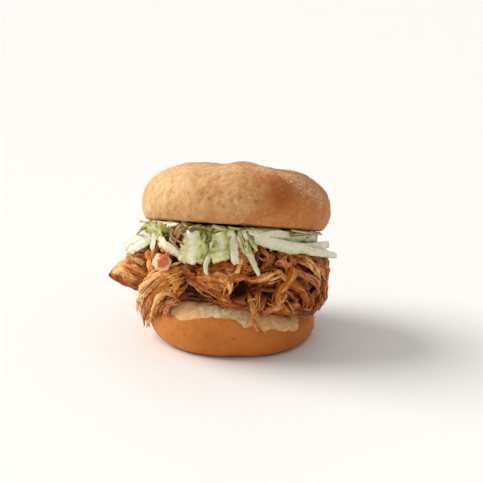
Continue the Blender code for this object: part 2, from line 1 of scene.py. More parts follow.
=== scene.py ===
# %% [markdown]
# # A barbecue chicken roll
# The roll is a wheat bun with a heap of saucy pulled chicken and creamy coleslaw between its
# halves. The frame that is loaded here holds the plain solids, at their real size and place.
# Every piece below is a finer, dressed copy of one of them, so the frame comes first and all
# sizes are read from it or worked out beside it. Lengths are in metres, as in Blender; MM
# turns the millimetres that a cook would think in into metres.

# %% Load the frame
import math
import random

import bpy
import numpy as np
from mathutils import Matrix, Vector, noise
from mathutils.bvhtree import BVHTree


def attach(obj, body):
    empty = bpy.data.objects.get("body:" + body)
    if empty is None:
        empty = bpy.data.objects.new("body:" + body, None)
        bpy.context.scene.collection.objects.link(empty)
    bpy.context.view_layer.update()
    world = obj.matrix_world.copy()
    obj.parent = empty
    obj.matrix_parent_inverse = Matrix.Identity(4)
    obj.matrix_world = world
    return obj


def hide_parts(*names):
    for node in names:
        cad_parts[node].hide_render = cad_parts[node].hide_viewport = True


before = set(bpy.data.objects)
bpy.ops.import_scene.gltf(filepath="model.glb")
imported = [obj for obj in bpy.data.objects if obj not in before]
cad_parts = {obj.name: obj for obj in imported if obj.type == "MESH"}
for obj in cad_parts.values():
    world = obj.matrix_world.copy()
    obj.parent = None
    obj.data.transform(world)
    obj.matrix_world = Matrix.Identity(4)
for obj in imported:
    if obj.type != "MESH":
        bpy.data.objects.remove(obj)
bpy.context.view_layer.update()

MM = 0.001
BODY = "root"
print("solids:", sorted(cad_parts))

# %% [markdown]
# ## Camera
# A camera is a place, a direction and a lens. The roll is seen from a little above its crown,
# close enough for some perspective. `to_track_quat` turns the direction from the camera to the
# point it looks at into a rotation, which is easier to read than three angles.

# %% Camera
def link(piece):
    """Put an object into the scene."""
    bpy.context.scene.collection.objects.link(piece)
    return piece


CAMERA_PLACE = Vector((5.0 * MM, -511.4 * MM, 191.6 * MM))
LOOK_AT = Vector((5.8 * MM, 0.0, 52.7 * MM))
LENS = 71.3
SENSOR_WIDTH = 36.0
camera_data = bpy.data.cameras.new("camera")
camera_data.lens = LENS
camera_data.sensor_width = SENSOR_WIDTH
camera_data.clip_start = 10.0 * MM
camera = link(bpy.data.objects.new("camera", camera_data))
camera.location = CAMERA_PLACE
camera.rotation_euler = (LOOK_AT - CAMERA_PLACE).to_track_quat("-Z", "Y").to_euler()
bpy.context.scene.camera = camera
drop = math.atan2(CAMERA_PLACE.z - LOOK_AT.z, -CAMERA_PLACE.y)
print("camera looks down by", round(math.degrees(drop), 1), "degrees")

# %% [markdown]
# ## Light and floor
# Food looks fresh in a bright, soft window light that comes from one side and a little from
# behind: the wet shreds then show small highlights, and the far side falls into a warm shade.
# A sun lamp with a wide angle acts as a large window. It lights the whole floor evenly, and
# the pale floor throws light back on to the front, as a white table does. The floor is a plain
# sheet that isn't part of the roll. The Standard view keeps the pale tones as bright as they are.

# %% Window light
WINDOW_FROM = Vector((-1.0, 0.26, 0.86))
WINDOW_STRENGTH = 2.95
WINDOW_ANGLE = math.radians(38.0)
WINDOW_TINT = (1.0, 0.985, 0.955)
ROOM_LIGHT = 0.58
ROOM_TINT = (1.0, 0.99, 0.975, 1.0)
window_data = bpy.data.lights.new("window", "SUN")
window_data.energy = WINDOW_STRENGTH
window_data.angle = WINDOW_ANGLE
window_data.color = WINDOW_TINT
window = link(bpy.data.objects.new("window", window_data))
window.rotation_euler = WINDOW_FROM.to_track_quat("Z", "Y").to_euler()

room = bpy.data.worlds.new("pale_room")
bpy.context.scene.world = room
room.use_nodes = True
room_light = room.node_tree.nodes["Background"]
room_light.inputs["Color"].default_value = ROOM_TINT
room_light.inputs["Strength"].default_value = ROOM_LIGHT
bpy.context.scene.view_settings.view_transform = "Standard"
bpy.context.scene.view_settings.look = "None"

# %% Floor
FLOOR_HALF = 60.0
FLOOR_DROP = 0.2 * MM
FLOOR_TONE = (0.88, 0.87, 0.85, 1.0)
FLOOR_ROUGHNESS = 0.6
floor_mesh = bpy.data.meshes.new("floor")
floor_corners = [(x * FLOOR_HALF, y * FLOOR_HALF, -FLOOR_DROP)
                 for x, y in ((-1, -1), (1, -1), (1, 1), (-1, 1))]
floor_mesh.from_pydata(floor_corners, [], [(0, 1, 2, 3)])
floor = link(bpy.data.objects.new("floor", floor_mesh))
floor_finish = bpy.data.materials.new("pale_floor")
floor_finish.use_nodes = True
floor_shader = floor_finish.node_tree.nodes["Principled BSDF"]
floor_shader.inputs["Base Color"].default_value = FLOOR_TONE
floor_shader.inputs["Roughness"].default_value = FLOOR_ROUGHNESS
floor_mesh.materials.append(floor_finish)
print("floor reaches", FLOOR_HALF, "m each way")

# %% [markdown]
# ## Helpers for finishes
# A finish here is a small graph of nodes: noise, ramps and sums that end in a colour. Writing
# such a graph by hand takes many lines, so a class adds each node and links it in one call.
# All noise uses the object's own coordinates, or values stored on the mesh, so that a finish
# stays put on its piece.

# %% Nodes in one call
class Nodes:
    """A tree of nodes with short calls for those that food needs."""

    def __init__(self, tree):
        self.tree = tree
        self.place = self.node("ShaderNodeTexCoord").outputs["Object"]

    def node(self, kind, links=None, **settings):
        """Add a node; settings are its own properties, links are input values or sockets."""
        made = self.tree.nodes.new(kind)
        for key, value in settings.items():
            setattr(made, key, value)
        for key, value in (links or {}).items():
            self.feed(made.inputs[key], value)
        return made

    def feed(self, socket, value):
        """Link a socket to another socket, or set it to a number or a colour."""
        if isinstance(value, bpy.types.NodeSocket):
            self.tree.links.new(value, socket)
        elif isinstance(value, tuple) and len(value) == 3 and socket.type == "RGBA":
            socket.default_value = (*value, 1.0)
        else:
            socket.default_value = value

    def stretched(self, stretch):
        """The object's own coordinates, with waves made shorter or longer along an axis."""
        if stretch is None:
            return self.place
        return self.node("ShaderNodeMapping", {"Vector": self.place, "Scale": stretch}).outputs[0]

    def spots(self, scale, detail=2.0, rough=0.5, stretch=None):
        """Soft noise between 0 and 1; scale counts waves in each metre."""
        made = self.node("ShaderNodeTexNoise", {"Vector": self.stretched(stretch), "Scale": scale,
                                                "Detail": detail, "Roughness": rough})
        return made.outputs["Fac"]

    def cells(self, scale, stretch=None):
        """Distance to the nearest of many scattered points."""
        made = self.node("ShaderNodeTexVoronoi", {"Vector": self.stretched(stretch),
                                                  "Scale": scale})
        return made.outputs["Distance"]

    def stored(self, name):
        """A value stored on the mesh, such as how much sauce a point carries."""
        return self.node("ShaderNodeAttribute", attribute_name=name).outputs["Fac"]

    def ramp(self, value, low, high, start=0.0, end=1.0):
        """Stretch the part of a value between low and high to the range start to end."""
        made = self.node("ShaderNodeMapRange", {"Value": value, "From Min": low, "From Max": high,
                                                "To Min": start, "To Max": end})
        return made.outputs["Result"]

    def math(self, operation, first, second):
        """Plain arithmetic on two values."""
        made = self.node("ShaderNodeMath", operation=operation)
        self.feed(made.inputs[0], first)
        self.feed(made.inputs[1], second)
        return made.outputs[0]

    def sum(self, first, second):
        """One value added to another."""
        return self.math("ADD", first, second)

    def times(self, first, second):
        """One value multiplied by another."""
        return self.math("MULTIPLY", first, second)

    def blend(self, share, first, second):
        """Mix two colours by a share between 0 and 1."""
        made = self.node("ShaderNodeMix", data_type="RGBA")
        self.feed(made.inputs[0], share)
        self.feed(made.inputs[6], first)
        self.feed(made.inputs[7], second)
        return made.outputs[2]


print("ready to build finishes from noise, cells, stored values, ramps and blends")

# %% [markdown]
# A finish is such a tree that ends in a shader. Its colours are built up as a painter would: a
# ground first, and then one thin layer after another. Numbers that are the same all over the
# piece, such as its gloss, are set on the shader itself.

# %% Finish
class Finish(Nodes):
    """A material whose colour is laid in layers."""

    def __init__(self, name, roughness, specular, coat=0.0, coat_roughness=0.03):
        self.material = bpy.data.materials.new(name)
        self.material.use_nodes = True
        super().__init__(self.material.node_tree)
        self.shader = self.tree.nodes["Principled BSDF"]
        self.shader.inputs["Roughness"].default_value = roughness
        self.shader.inputs["Specular IOR Level"].default_value = specular
        self.shader.inputs["Coat Weight"].default_value = coat
        self.shader.inputs["Coat Roughness"].default_value = coat_roughness

    def colour(self, value):
        """Set the ground colour."""
        self.feed(self.shader.inputs["Base Color"], value)

    def lay(self, share, tone):
        """Lay one more colour over what is there, by a share between 0 and 1."""
        below = self.shader.inputs["Base Color"].links[0].from_socket
        self.colour(self.blend(share, below, tone))

    def roughness(self, value):
        """Let the roughness follow a value."""
        self.feed(self.shader.inputs["Roughness"], value)

    def bump(self, height, strength, depth):
        """Fine relief on top of any that is there; depth is a full step's height."""
        before = self.shader.inputs["Normal"].links
        made = self.node("ShaderNodeBump", {"Height": height, "Strength": strength,
                                            "Distance": depth * MM})
        if before:
            self.feed(made.inputs["Normal"], before[0].from_socket)
        self.feed(self.shader.inputs["Normal"], made.outputs[0])


def srgb(*steps):
    """A colour given in the 0 to 255 steps of a screen, as the linear colour Blender wants."""
    shares = [step / 255.0 for step in steps]
    return tuple(share / 12.92 if share <= 0.04045 else ((share + 0.055) / 1.055) ** 2.4
                 for share in shares)


print("a mid grey of 128 steps is", round(srgb(128)[0], 3), "of full light")

# %% [markdown]
# ## The shape of the roll in numbers
# The solids were built from a few rules: how high the heel's crust and rim are all round, where
# the crown's cut face lies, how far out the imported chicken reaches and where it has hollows.
# The finer pieces lie on the same surfaces, so the same values stand here. A place on the side
# is an angle round the upright axis, 0 at the front and positive to the right, and a height.
# Angles are in degrees and lengths in millimetres.

# %% Bun and heap
HEEL_RADIUS = 46.5
RIM_RADIUS = 41.0
HEEL_MIDDLE = 26.0
# (angle, height) pairs of the heel's crust edge and of its rim
CRUST_LINE = [(-180, 13.0), (-135, 13.0), (-90, 15.0), (-44, 20.0), (-12, 24.0), (1, 23.0),
              (13, 19.5), (24, 16.0), (52, 12.0), (90, 11.5), (135, 12.0)]
RIM_LINE = [(-180, 20.0), (-135, 20.0), (-90, 22.0), (-49, 27.5), (-30, 30.5), (-10, 31.0),
            (13, 27.5), (25, 24.0), (54, 18.5), (90, 16.5), (135, 18.0)]
CROWN_CENTRE = np.array([2.5, 0.0, 61.5])
CROWN_LEAN = math.radians(-15.0)
CROWN_ROLL = math.radians(4.0)
SLAW_THICK = 9.0
SLAW_RADIUS = 45.5
SLAW_DROP = 2.5
SIDE_BULGE = 0.075
SIDE_RIPPLE = 0.6
# (angle, radius) pairs of the chicken's side and (angle, height) pairs of its lower edge
CHICKEN_RADIUS = [(-180, 47.0), (-120, 47.5), (-80, 49.0), (-45, 48.5), (-10, 48.0), (30, 49.5),
                  (75, 52.0), (120, 49.0)]
CHICKEN_SKIRT = [(-180, 21.5), (-110, 21.5), (-75, 25.0), (-49, 28.5), (-28, 31.5), (-5, 31.5),
                 (13, 28.5), (25, 25.0), (54, 19.5), (85, 17.0), (135, 19.5)]
# angle, height, half width in degrees, half height and depth; the first two stay open, and the
# first four get the most painted shade
HOLLOWS = [(5.5, 40.0, 7.0, 5.5, 9.0), (-24, 36.0, 8.0, 4.0, 6.0), (-21, 52.5, 8.0, 3.5, 4.0),
           (24, 38.5, 8.0, 5.0, 5.5), (66, 29.5, 9.0, 4.0, 4.5), (20, 53.5, 8.0, 4.0, 3.5),
           (125, 35.0, 9.0, 5.0, 5.0), (-130, 38.0, 9.0, 5.0, 5.0), (175, 33.0, 9.0, 4.0, 4.0)]
OPEN_HOLLOWS = HOLLOWS[:2]
SHADED_HOLLOWS = HOLLOWS[:4]
HALF_TURN = 180.0
FULL_TURN = 360.0
CROWN_TURN = np.array(Matrix.Rotation(CROWN_ROLL, 3, "Y") @ Matrix.Rotation(CROWN_LEAN, 3, "X"))
CUT_NORMAL = CROWN_TURN @ np.array([0.0, 0.0, 1.0])
print("the crown leans by", round(math.degrees(math.acos(CUT_NORMAL[2])), 1), "degrees")

# %% [markdown]
# The rules are functions that take a whole array of places at once, because `numpy`
# works out thousands of points in the time a Python loop takes for a few. `around` blends
# smoothly between the pairs above, so a curve round the roll needs only about ten of them.

# %% Places round the roll
def around(pairs, angle):
    """Smoothly blend a ring of (angle, value) pairs at one angle or at many."""
    angle = np.asarray(angle, float)
    starts = np.array([pair[0] for pair in pairs] + [pairs[0][0] + FULL_TURN])
    values = np.array([pair[1] for pair in pairs] + [pairs[0][1]])
    turned = (angle - starts[0]) % FULL_TURN + starts[0]
    index = np.clip(np.searchsorted(starts, turned, side="right") - 1, 0, len(pairs) - 1)
    share = (turned - starts[index]) / (starts[index + 1] - starts[index])
    share = share * share * (3.0 - 2.0 * share)
    return values[index] + (values[index + 1] - values[index]) * share


def place(angle, radius, height):
    """Points in millimetres from angles, radii and heights."""
    turn = np.radians(angle)
    return np.stack(np.broadcast_arrays(radius * np.sin(turn), -radius * np.cos(turn), height), -1)


def polar(points):
    """Angles and radii of points seen from above."""
    return (np.degrees(np.arctan2(points[..., 0], -points[..., 1])),
            np.hypot(points[..., 0], points[..., 1]))


print("a quarter of a turn to the right is at", place(90.0, HEEL_RADIUS, 0.0).round(1))

# %% [markdown]
# Three surfaces bound the filling: the crown's leaning cut face above, the top of the packed
# chicken under the coleslaw, and the chicken's side, which bulges between its two edges and
# has the hollows pressed into it as soft round dents.

# %% Surfaces of the heap
def crown_cut(points):
    """Height of the crown's leaning cut face over some points."""
    slide = ((points[..., 0] - CROWN_CENTRE[0]) * CUT_NORMAL[0]
             + (points[..., 1] - CROWN_CENTRE[1]) * CUT_NORMAL[1])
    return CROWN_CENTRE[2] - slide / CUT_NORMAL[2]


def chicken_top(points):
    """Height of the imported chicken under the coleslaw; it drops a little to its rim."""
    return crown_cut(points) - SLAW_THICK - SLAW_DROP * (polar(points)[1] / SLAW_RADIUS) ** 2


def hollow_weight(angle, height, hollows):
    """How deep places lie in some of the hollows, from 0 to 1."""
    weight = np.zeros(np.shape(angle))
    for middle, level, wide, tall, depth in hollows:
        off = (angle - middle + HALF_TURN) % FULL_TURN - HALF_TURN
        weight = np.maximum(weight, np.exp(-(off / wide) ** 2 - ((height - level) / tall) ** 2))
    return weight


def chicken_side(angle, height):
    """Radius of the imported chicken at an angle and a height, with its hollows."""
    angle = np.asarray(angle, float)
    low = around(CHICKEN_SKIRT, angle)
    high = chicken_top(place(angle, SLAW_RADIUS, 0.0))
    share = np.clip((height - low) / (high - low), 0.0, 1.0)
    bulge = 1.0 - SIDE_BULGE * np.abs(2.0 * share - 1.0) ** 2.5
    radius = around(CHICKEN_RADIUS, angle) * bulge
    for hollow in HOLLOWS:
        radius = radius - hollow[-1] * hollow_weight(angle, height, [hollow])
    return radius + SIDE_RIPPLE * np.sin(np.radians(angle) * 7.0 + height * 0.21)


print("packed chicken reaches", round(float(chicken_side(0.0, 45.0)), 1), "mm out at the front")

# %% [markdown]
# ## From a plain solid to a fine skin
# A bun's skin has soft lumps, wrinkles and pores, which need thousands of small faces. The
# plain solid already has the right form, so it is copied, rebuilt by a voxel remesh into even
# small faces, and smoothed until its facets are gone. After that every point can be moved a
# little along its normal.

# %% Fine copies
def fine_copy(node, name, voxel, rounds):
    """A copy of a node's solid in even, small, smoothed faces."""
    piece = link(bpy.data.objects.new(name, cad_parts[node].data.copy()))
    piece.data.materials.clear()
    even = piece.modifiers.new("Even", "REMESH")
    even.mode = "VOXEL"
    even.voxel_size = voxel * MM
    soft = piece.modifiers.new("Soft", "SMOOTH")
    soft.factor = 0.5
    soft.iterations = rounds
    bpy.context.view_layer.update()
    shape = bpy.data.meshes.new_from_object(piece.evaluated_get(
        bpy.context.evaluated_depsgraph_get()))
    piece.modifiers.clear()
    piece.data = shape
    return piece


print("solids that can be copied:", len(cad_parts))

# %% [markdown]
# `foreach_get` and `foreach_set` move all points of a mesh to and from an array at once. Every
# piece ends in `finish_piece`, which gives it its material, puts it on its body and hides the
# solid that it stands for.

# %% Points, values and finished pieces
def points_of(mesh):
    """A mesh's points as an array, in millimetres."""
    flat = np.empty(len(mesh.vertices) * 3)
    mesh.vertices.foreach_get("co", flat)
    return flat.reshape(-1, 3) / MM


def normals_of(mesh):
    """The direction away from the surface at each point."""
    flat = np.empty(len(mesh.vertices) * 3)
    mesh.vertices.foreach_get("normal", flat)
    return flat.reshape(-1, 3)


def put_points(mesh, points):
    """Move a mesh's points to new places, in millimetres."""
    mesh.vertices.foreach_set("co", (points * MM).ravel())
    mesh.update()


def store(mesh, name, values):
    """Store one value for each point of a mesh, for its finish to read."""
    made = mesh.attributes.new(name, "FLOAT", "POINT")
    made.data.foreach_set("value", np.asarray(values, dtype=np.float32))


def finish_piece(piece, node, material):
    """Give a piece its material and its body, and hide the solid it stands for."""
    piece.data.materials.append(material)
    piece.data.shade_smooth()
    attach(piece, BODY)
    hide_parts(node)
    print(piece.name, len(piece.data.polygons), "faces")


print("the heel's solid has", len(points_of(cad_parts["bun_heel"].data)), "points")

# %% [markdown]
# `grain` is soft noise, `relief` is a sum of it in several sizes, and `pores` are round pits
# round scattered points. All take a seed, which only shifts the noise, so each call gives the
# same result every time and no two layers match.

# %% Relief
def grain(points, wave, seed):
    """Smooth noise from -1 to 1 with waves of a given length in millimetres."""
    shift = Vector((seed * 13.7, seed * 7.1, seed * 3.3))
    return np.array([noise.noise(Vector(point) / wave + shift) for point in points])


def relief(points, layers, seed):
    """The sum of layers of noise, each given by its wave length and its height."""
    return sum(height * grain(points, wave, seed + number)
               for number, (wave, height) in enumerate(layers))


def pores(points, wave, seed):
    """How close each point is to a scattered pore: 1 in its middle, 0 away from it."""
    shift = Vector((seed * 5.1, seed * 9.7, seed * 2.3))
    near = np.array([noise.voronoi(Vector(point) / wave + shift)[0][0] for point in points])
    return np.clip(1.0 - near / 0.55, 0.0, 1.0)


def patches_at(points, patches):
    """The sum of soft round patches, each given by its middle, reach and strength."""
    total = np.zeros(len(points))
    for x, y, z, reach, strength in patches:
        total += strength * np.exp(-np.sum((points - (x, y, z)) ** 2, axis=1) / reach ** 2)
    return total


few_places = place(np.linspace(-HALF_TURN, HALF_TURN, 50), HEEL_RADIUS, 0.0)
print("grain spreads by", round(float(grain(few_places, 6.0, 1).std()), 2), "about 0")

# %% [markdown]
# ## Crown
# The top of a wheat bun is a thin, dry skin over soft crumb. It bulges in a few broad lobes
# where the dough rose unevenly, is finely wrinkled, and carries flecks of bran and pale flour.
# Sculpting would do, but can't be repeated or changed by a number. The lobes are in the solid
# already, so the fine copy only adds lumps, wrinkles and dimples, and pores in its cut face.

# %% Crown shape
CROWN_VOXEL = 0.75
CROWN_ROUNDS = 14
CROWN_LUMPS = [(13.0, 0.55), (5.5, 0.26)]
CUT_TOP = 1.3
CUT_RADIUS = 46.5
CUT_EDGE = 1.2
crown = fine_copy("bun_crown", "crown_skin", CROWN_VOXEL, CROWN_ROUNDS)
crown_points = points_of(crown.data)
crown_own = (crown_points - CROWN_CENTRE) @ CROWN_TURN
crown_out = np.hypot(crown_own[:, 0], crown_own[:, 1])
crown_is_cut = (np.clip(CUT_TOP - crown_own[:, 2], 0.0, 1.0)
                * np.clip((CUT_RADIUS - crown_out) / CUT_EDGE, 0.0, 1.0))
wrinkles = 0.19 * grain(crown_own * (1.0, 1.0, 0.7), 2.3, 3) + 0.12 * grain(crown_own, 1.2, 4)
dimples = 0.45 * pores(crown_own, 4.6, 5) ** 2
crust_move = relief(crown_own, CROWN_LUMPS, 1) + wrinkles - dimples
crumb_move = 0.25 * grain(crown_own, 1.1, 7) - 0.9 * pores(crown_own, 2.6, 6) ** 2
crown_move = np.where(crown_is_cut > 0.5, crumb_move, crust_move) - 0.15
put_points(crown.data, crown_points + normals_of(crown.data) * crown_move[:, None])
print("crown relief from", round(crown_move.min(), 2), "to", round(crown_move.max(), 2), "mm")

# %% [markdown]
# Where the crown is toasted, floured, cut or baked darker, and where light and shade are painted
# on it, is stored as values on its points, which the finish turns into colour. A painted texture
# would need unwrapping first; a value on each point keeps its patch exactly where it belongs on
# the bun. The patches are given in the crown's own directions, from the middle of its cut face:
# right, back, up, reach, strength.

# %% Toast and flour on the crown
TOAST_PATCHES = [(20, -41, 20, 11, 0.65), (21, -48, 13, 7, 0.5), (34, -30, 16, 14, 0.5),
                 (4, -12, 34, 26, 0.35), (40, 10, 20, 22, 0.4), (-2, 36, 22, 20, 0.45),
                 (-30, 20, 24, 18, 0.25)]
FLOUR_PATCHES = [(-7, -33, 28, 8, 1.1), (12, -32, 28, 6, 0.8), (32, -32, 20, 7, 1.0),
                 (25, -32, 24, 6, 1.0), (40, -26, 18, 6, 0.7), (-34, -20, 24, 10, 0.45),
                 (-2, -48, 14, 12, 0.35), (-8, 14, 33, 14, 0.8), (26, 26, 25, 12, 0.6),
                 (-36, 24, 20, 12, 0.5)]
DEEPEST_DIP = 0.6
store(crown.data, "crumb", crown_is_cut)
store(crown.data, "warm", np.zeros(len(crown_points)))
store(crown.data, "toast", patches_at(crown_own, TOAST_PATCHES))
store(crown.data, "flour", patches_at(crown_own, FLOUR_PATCHES))
# baking with painted light and shade: paler to the lit top and left, browner to the shaded right
store(crown.data, "bake_and_light", 0.62 + crown_own[:, 0] / 75.0 - (crown_own[:, 2] - 12.0) / 90.0)
# painted shade: the crust is darker in its dips
store(crown.data, "dip", np.clip(-crust_move / DEEPEST_DIP, 0.0, 1.0))
print("toasted patches:", len(TOAST_PATCHES), "floured patches:", len(FLOUR_PATCHES))

# %% [markdown]
# A crust's ground is a mix of a pale tan and a baked brown. How much each point was baked, with
# painted light and shade laid into the same value, decides the share, with slow noise so that no
# two patches match. Fine mottling, toast and painted shade in the dips come over it, and bran
# flecks are small dark cells where another noise allows them. Flour is a scatter of pale specks
# over a thin veil.

# %% Crust finish
def lay_crust(made, pale, brown, toast_and_dip_shade):
    """Baked crust with mottling, toast, painted shade in its dips and flecks of bran."""
    uneven = made.ramp(made.spots(70.0, 4.0, 0.6), 0.35, 0.68, -0.25, 0.25)
    # the share follows baking and the painted light and shade stored with it
    made.colour(made.blend(made.sum(made.stored("bake_and_light"), uneven), pale, brown))
    dark_mottle = made.ramp(made.spots(330.0, 4.0, 0.65, (1.0, 1.0, 0.7)), 0.42, 0.62)
    made.lay(made.times(dark_mottle, 0.5), brown)
    pale_mottle = made.ramp(made.spots(520.0, 4.0, 0.7), 0.5, 0.7)
    made.lay(made.times(pale_mottle, 0.5), pale)
    made.lay(made.stored("toast"), toast_and_dip_shade)
    # painted shade: the dips darken towards the toasted colour
    made.lay(made.times(made.stored("dip"), 0.4), toast_and_dip_shade)
    fleck = made.ramp(made.cells(300.0, (1.0, 1.3, 0.7)), 0.3, 0.06)
    fleck = made.times(fleck, made.ramp(made.spots(140.0, 1.0), 0.46, 0.6))
    made.lay(made.times(fleck, 0.75), srgb(132, 84, 44))


def lay_flour(made):
    """Flour dusted on where the mesh says so: pale specks and a thin veil."""
    speck = made.ramp(made.spots(1000.0, 3.0, 0.75, (0.7, 1.0, 1.0)), 0.53, 0.62)
    dust = made.ramp(made.sum(made.stored("flour"), made.spots(260.0, 3.0)), 0.62, 1.15)
    made.lay(made.times(speck, dust), srgb(250, 226, 190))
    made.lay(made.times(dust, 0.16), srgb(236, 200, 154))


CROWN_CRUST = [srgb(223, 186, 134), srgb(197, 122, 54), srgb(164, 84, 30)]
HEEL_CRUST = [srgb(214, 134, 60), srgb(198, 114, 44), srgb(170, 90, 34)]
print("crust tones:", len(CROWN_CRUST), "for the crown and", len(HEEL_CRUST), "for the heel")

# %% [markdown]
# Crumb is a pale sponge: its tears are darker, its holes are darkened as painted shade, and near
# the sauce it turns warm. It is duller than the crust, and a little noise breaks the line where
# the two meet. Both get the same fine bump, which stands for grain far below the size of a face.

# %% Crumb finish
def lay_crumb(made, light, dark_and_pore_shade):
    """Open crumb where the mesh says so, and the roughness and grain of the whole bun."""
    tears = made.ramp(made.spots(420.0, 5.0, 0.7, (1.0, 1.0, 0.45)), 0.4, 0.62)
    # painted shade in the crumb's pores
    pore_shade = made.ramp(made.cells(620.0), 0.42, 0.12)
    crumb = made.blend(tears, light, dark_and_pore_shade)
    crumb = made.blend(made.times(pore_shade, 0.5), crumb, dark_and_pore_shade)
    crumb = made.blend(made.times(made.stored("warm"), 0.55), crumb, srgb(238, 170, 100))
    edge = made.ramp(made.sum(made.stored("crumb"), made.spots(260.0, 3.0)), 0.85, 1.1)
    made.lay(edge, crumb)
    made.roughness(made.ramp(edge, 0.0, 1.0, 0.5, 0.9))
    made.bump(made.spots(900.0, 3.0, 0.6), 0.35, 0.3)
    made.bump(made.cells(950.0), 0.25, 0.35)


crown_finish = Finish("crown_crust", 0.6, 0.15)
lay_crust(crown_finish, *CROWN_CRUST)
lay_flour(crown_finish)
lay_crumb(crown_finish, srgb(240, 212, 160), srgb(206, 160, 102))
finish_piece(crown, "bun_crown", crown_finish.material)

# %% [markdown]
# ## Heel
# The bottom half was cut unevenly, so a sloping band of pale crumb shows between its crust and
# the chicken; at both ends of the band the crust climbs towards the rim. Crumb gets pores,
# while the crust below it stays smooth with a few soft dents. The base stays flat, so that the
# roll stands: points near the floor hardly move, and none may go below it.

# %% Heel shape
# (angle, height) pairs: how far the crust climbs above the solid's own crust edge
CRUST_RISE = [(-180, 0.0), (-120, 0.0), (-95, 5.0), (-62, 8.0), (-36, 0.0), (48, 0.0), (66, 6.0),
              (95, 6.0), (120, 0.0)]
EDGE_WAVER = [(6.0, 1.0), (2.2, 0.6)]
HEEL_DENTS = [(12.0, 0.4), (3.6, 0.16), (1.3, 0.06)]
HEEL_VOXEL = 0.72
HEEL_ROUNDS = 8
BASE_TOP = 0.8
heel = fine_copy("bun_heel", "heel_skin", HEEL_VOXEL, HEEL_ROUNDS)
heel_points = points_of(heel.data)
heel_angle = polar(heel_points)[0]
crust_edge = (around(CRUST_LINE, heel_angle) + around(CRUST_RISE, heel_angle)
              + relief(heel_points, EDGE_WAVER, 11))
heel_is_cut = np.clip((heel_points[:, 2] - crust_edge + 0.6) / 1.2, 0.0, 1.0)
heel_holes = 0.45 * pores(heel_points, 2.7, 13) ** 2 + 0.22 * pores(heel_points, 1.5, 14) ** 2
heel_crumb = 0.1 * grain(heel_points * (1.0, 1.0, 0.5), 1.7, 15) - heel_holes - 0.15
heel_crust = relief(heel_points, HEEL_DENTS, 16) - 0.25 * pores(heel_points, 5.5, 19) ** 2
heel_move = heel_crust + (heel_crumb - heel_crust) * heel_is_cut
heel_move[heel_points[:, 2] < BASE_TOP] = -0.05
heel_points = heel_points + normals_of(heel.data) * heel_move[:, None]
heel_points[:, 2] = np.maximum(heel_points[:, 2], 0.0)
put_points(heel.data, heel_points)
print("crumb covers", round(100.0 * heel_is_cut.mean()), "% of the heel's points")

# %% [markdown]
# Sauce has run out of the heap on to the band, so the crumb is stained just under the rim and
# warm at both of its ends. The stain is one more layer over the same crust and crumb.

# %% Heel finish
HEEL_TOAST = [(30, -34, 8, 16, 0.5), (-10, -44, 6, 14, 0.3), (0, 0, 0, 40, 0.6),
              (30, 30, 6, 20, 0.4)]
STAIN_DEEP = 2.6
under_rim = around(RIM_LINE, heel_angle) - heel_points[:, 2] + 1.6 * grain(heel_points, 4.0, 20)
near_sauce = (np.clip((heel_angle - 6.0) / 16.0, 0.0, 1.0)
              + np.clip((-heel_angle - 12.0) / 14.0, 0.0, 1.0))
store(heel.data, "crumb", heel_is_cut)
store(heel.data, "stain", np.clip(1.0 - under_rim / STAIN_DEEP, 0.0, 1.0) * heel_is_cut)
store(heel.data, "warm", near_sauce)
# baking with painted shade: browner towards the shaded right
store(heel.data, "bake_and_light", 0.45 + heel_points[:, 0] / 110.0)
store(heel.data, "toast", patches_at(heel_points, HEEL_TOAST))
# painted shade: the crust is darker in its dents
store(heel.data, "dip", np.clip(-heel_crust / 0.5, 0.0, 1.0))
heel_finish = Finish("heel_crust", 0.6, 0.15)
lay_crust(heel_finish, *HEEL_CRUST)
lay_crumb(heel_finish, srgb(252, 228, 182), srgb(218, 174, 118))
heel_finish.lay(heel_finish.times(heel_finish.stored("stain"), 0.85), srgb(150, 78, 28))
finish_piece(heel, "bun_heel", heel_finish.material)

# %% [markdown]
# ## Routes
# The filling is made of hundreds of shreds and strips, and each follows a route: a smooth
# curve through a few points. A Catmull-Rom curve passes through every point it is given, so
# the routes can be written as places on the roll. `even_route` spaces its points evenly, so
# that a mesh laid on it has even faces.

# %% Smooth routes
ROUTE_STEPS = 60


def smooth_route(points, steps):
    """A Catmull-Rom curve through a few points, as steps + 1 points."""
    points = np.asarray(points, float)
    ends = np.vstack([2 * points[0] - points[1], points, 2 * points[-1] - points[-2]])
    along = np.linspace(0, len(points) - 1, steps + 1)
    span = np.minimum(along.astype(int), len(points) - 2)
    t = (along - span)[:, None]
    a, b, c, d = (ends[span + k] for k in range(4))
    return 0.5 * (2 * b + (c - a) * t + (2 * a - 5 * b + 4 * c - d) * t ** 2
                  + (3 * b - a - 3 * c + d) * t ** 3)


def even_route(points, spacing):
    """The same curve with its points at an even spacing in millimetres."""
    fine = smooth_route(points, ROUTE_STEPS)
    run = np.concatenate([[0.0], np.cumsum(np.linalg.norm(np.diff(fine, axis=0), axis=1))])
    wanted = np.linspace(0.0, run[-1], max(int(run[-1] / spacing), 4) + 1)
    return np.stack([np.interp(wanted, run, fine[:, axis]) for axis in range(3)], -1)


quarter_turn = even_route(place(np.array([0.0, 45.0, 90.0]), HEEL_RADIUS, 0.0), 1.0)
print("a route a quarter of the way round the heel has", len(quarter_turn), "points")

# %% [markdown]
# `frames` gives three directions at each point of a route: along it, across it, and outwards
# from the heap. Where a route points straight out of the heap, the other two aren't defined,
# so such a point takes them from the next one. `wander` is a smooth random wobble, made of two
# waves of which one is faster and smaller, for edges and strands that must not run straight.

# %% Directions and wobble
STRAIGHT_OUT = 0.7


def unit(vectors):
    """Vectors of the same directions, one long."""
    return vectors / np.maximum(np.linalg.norm(vectors, axis=-1, keepdims=True), 1e-9)


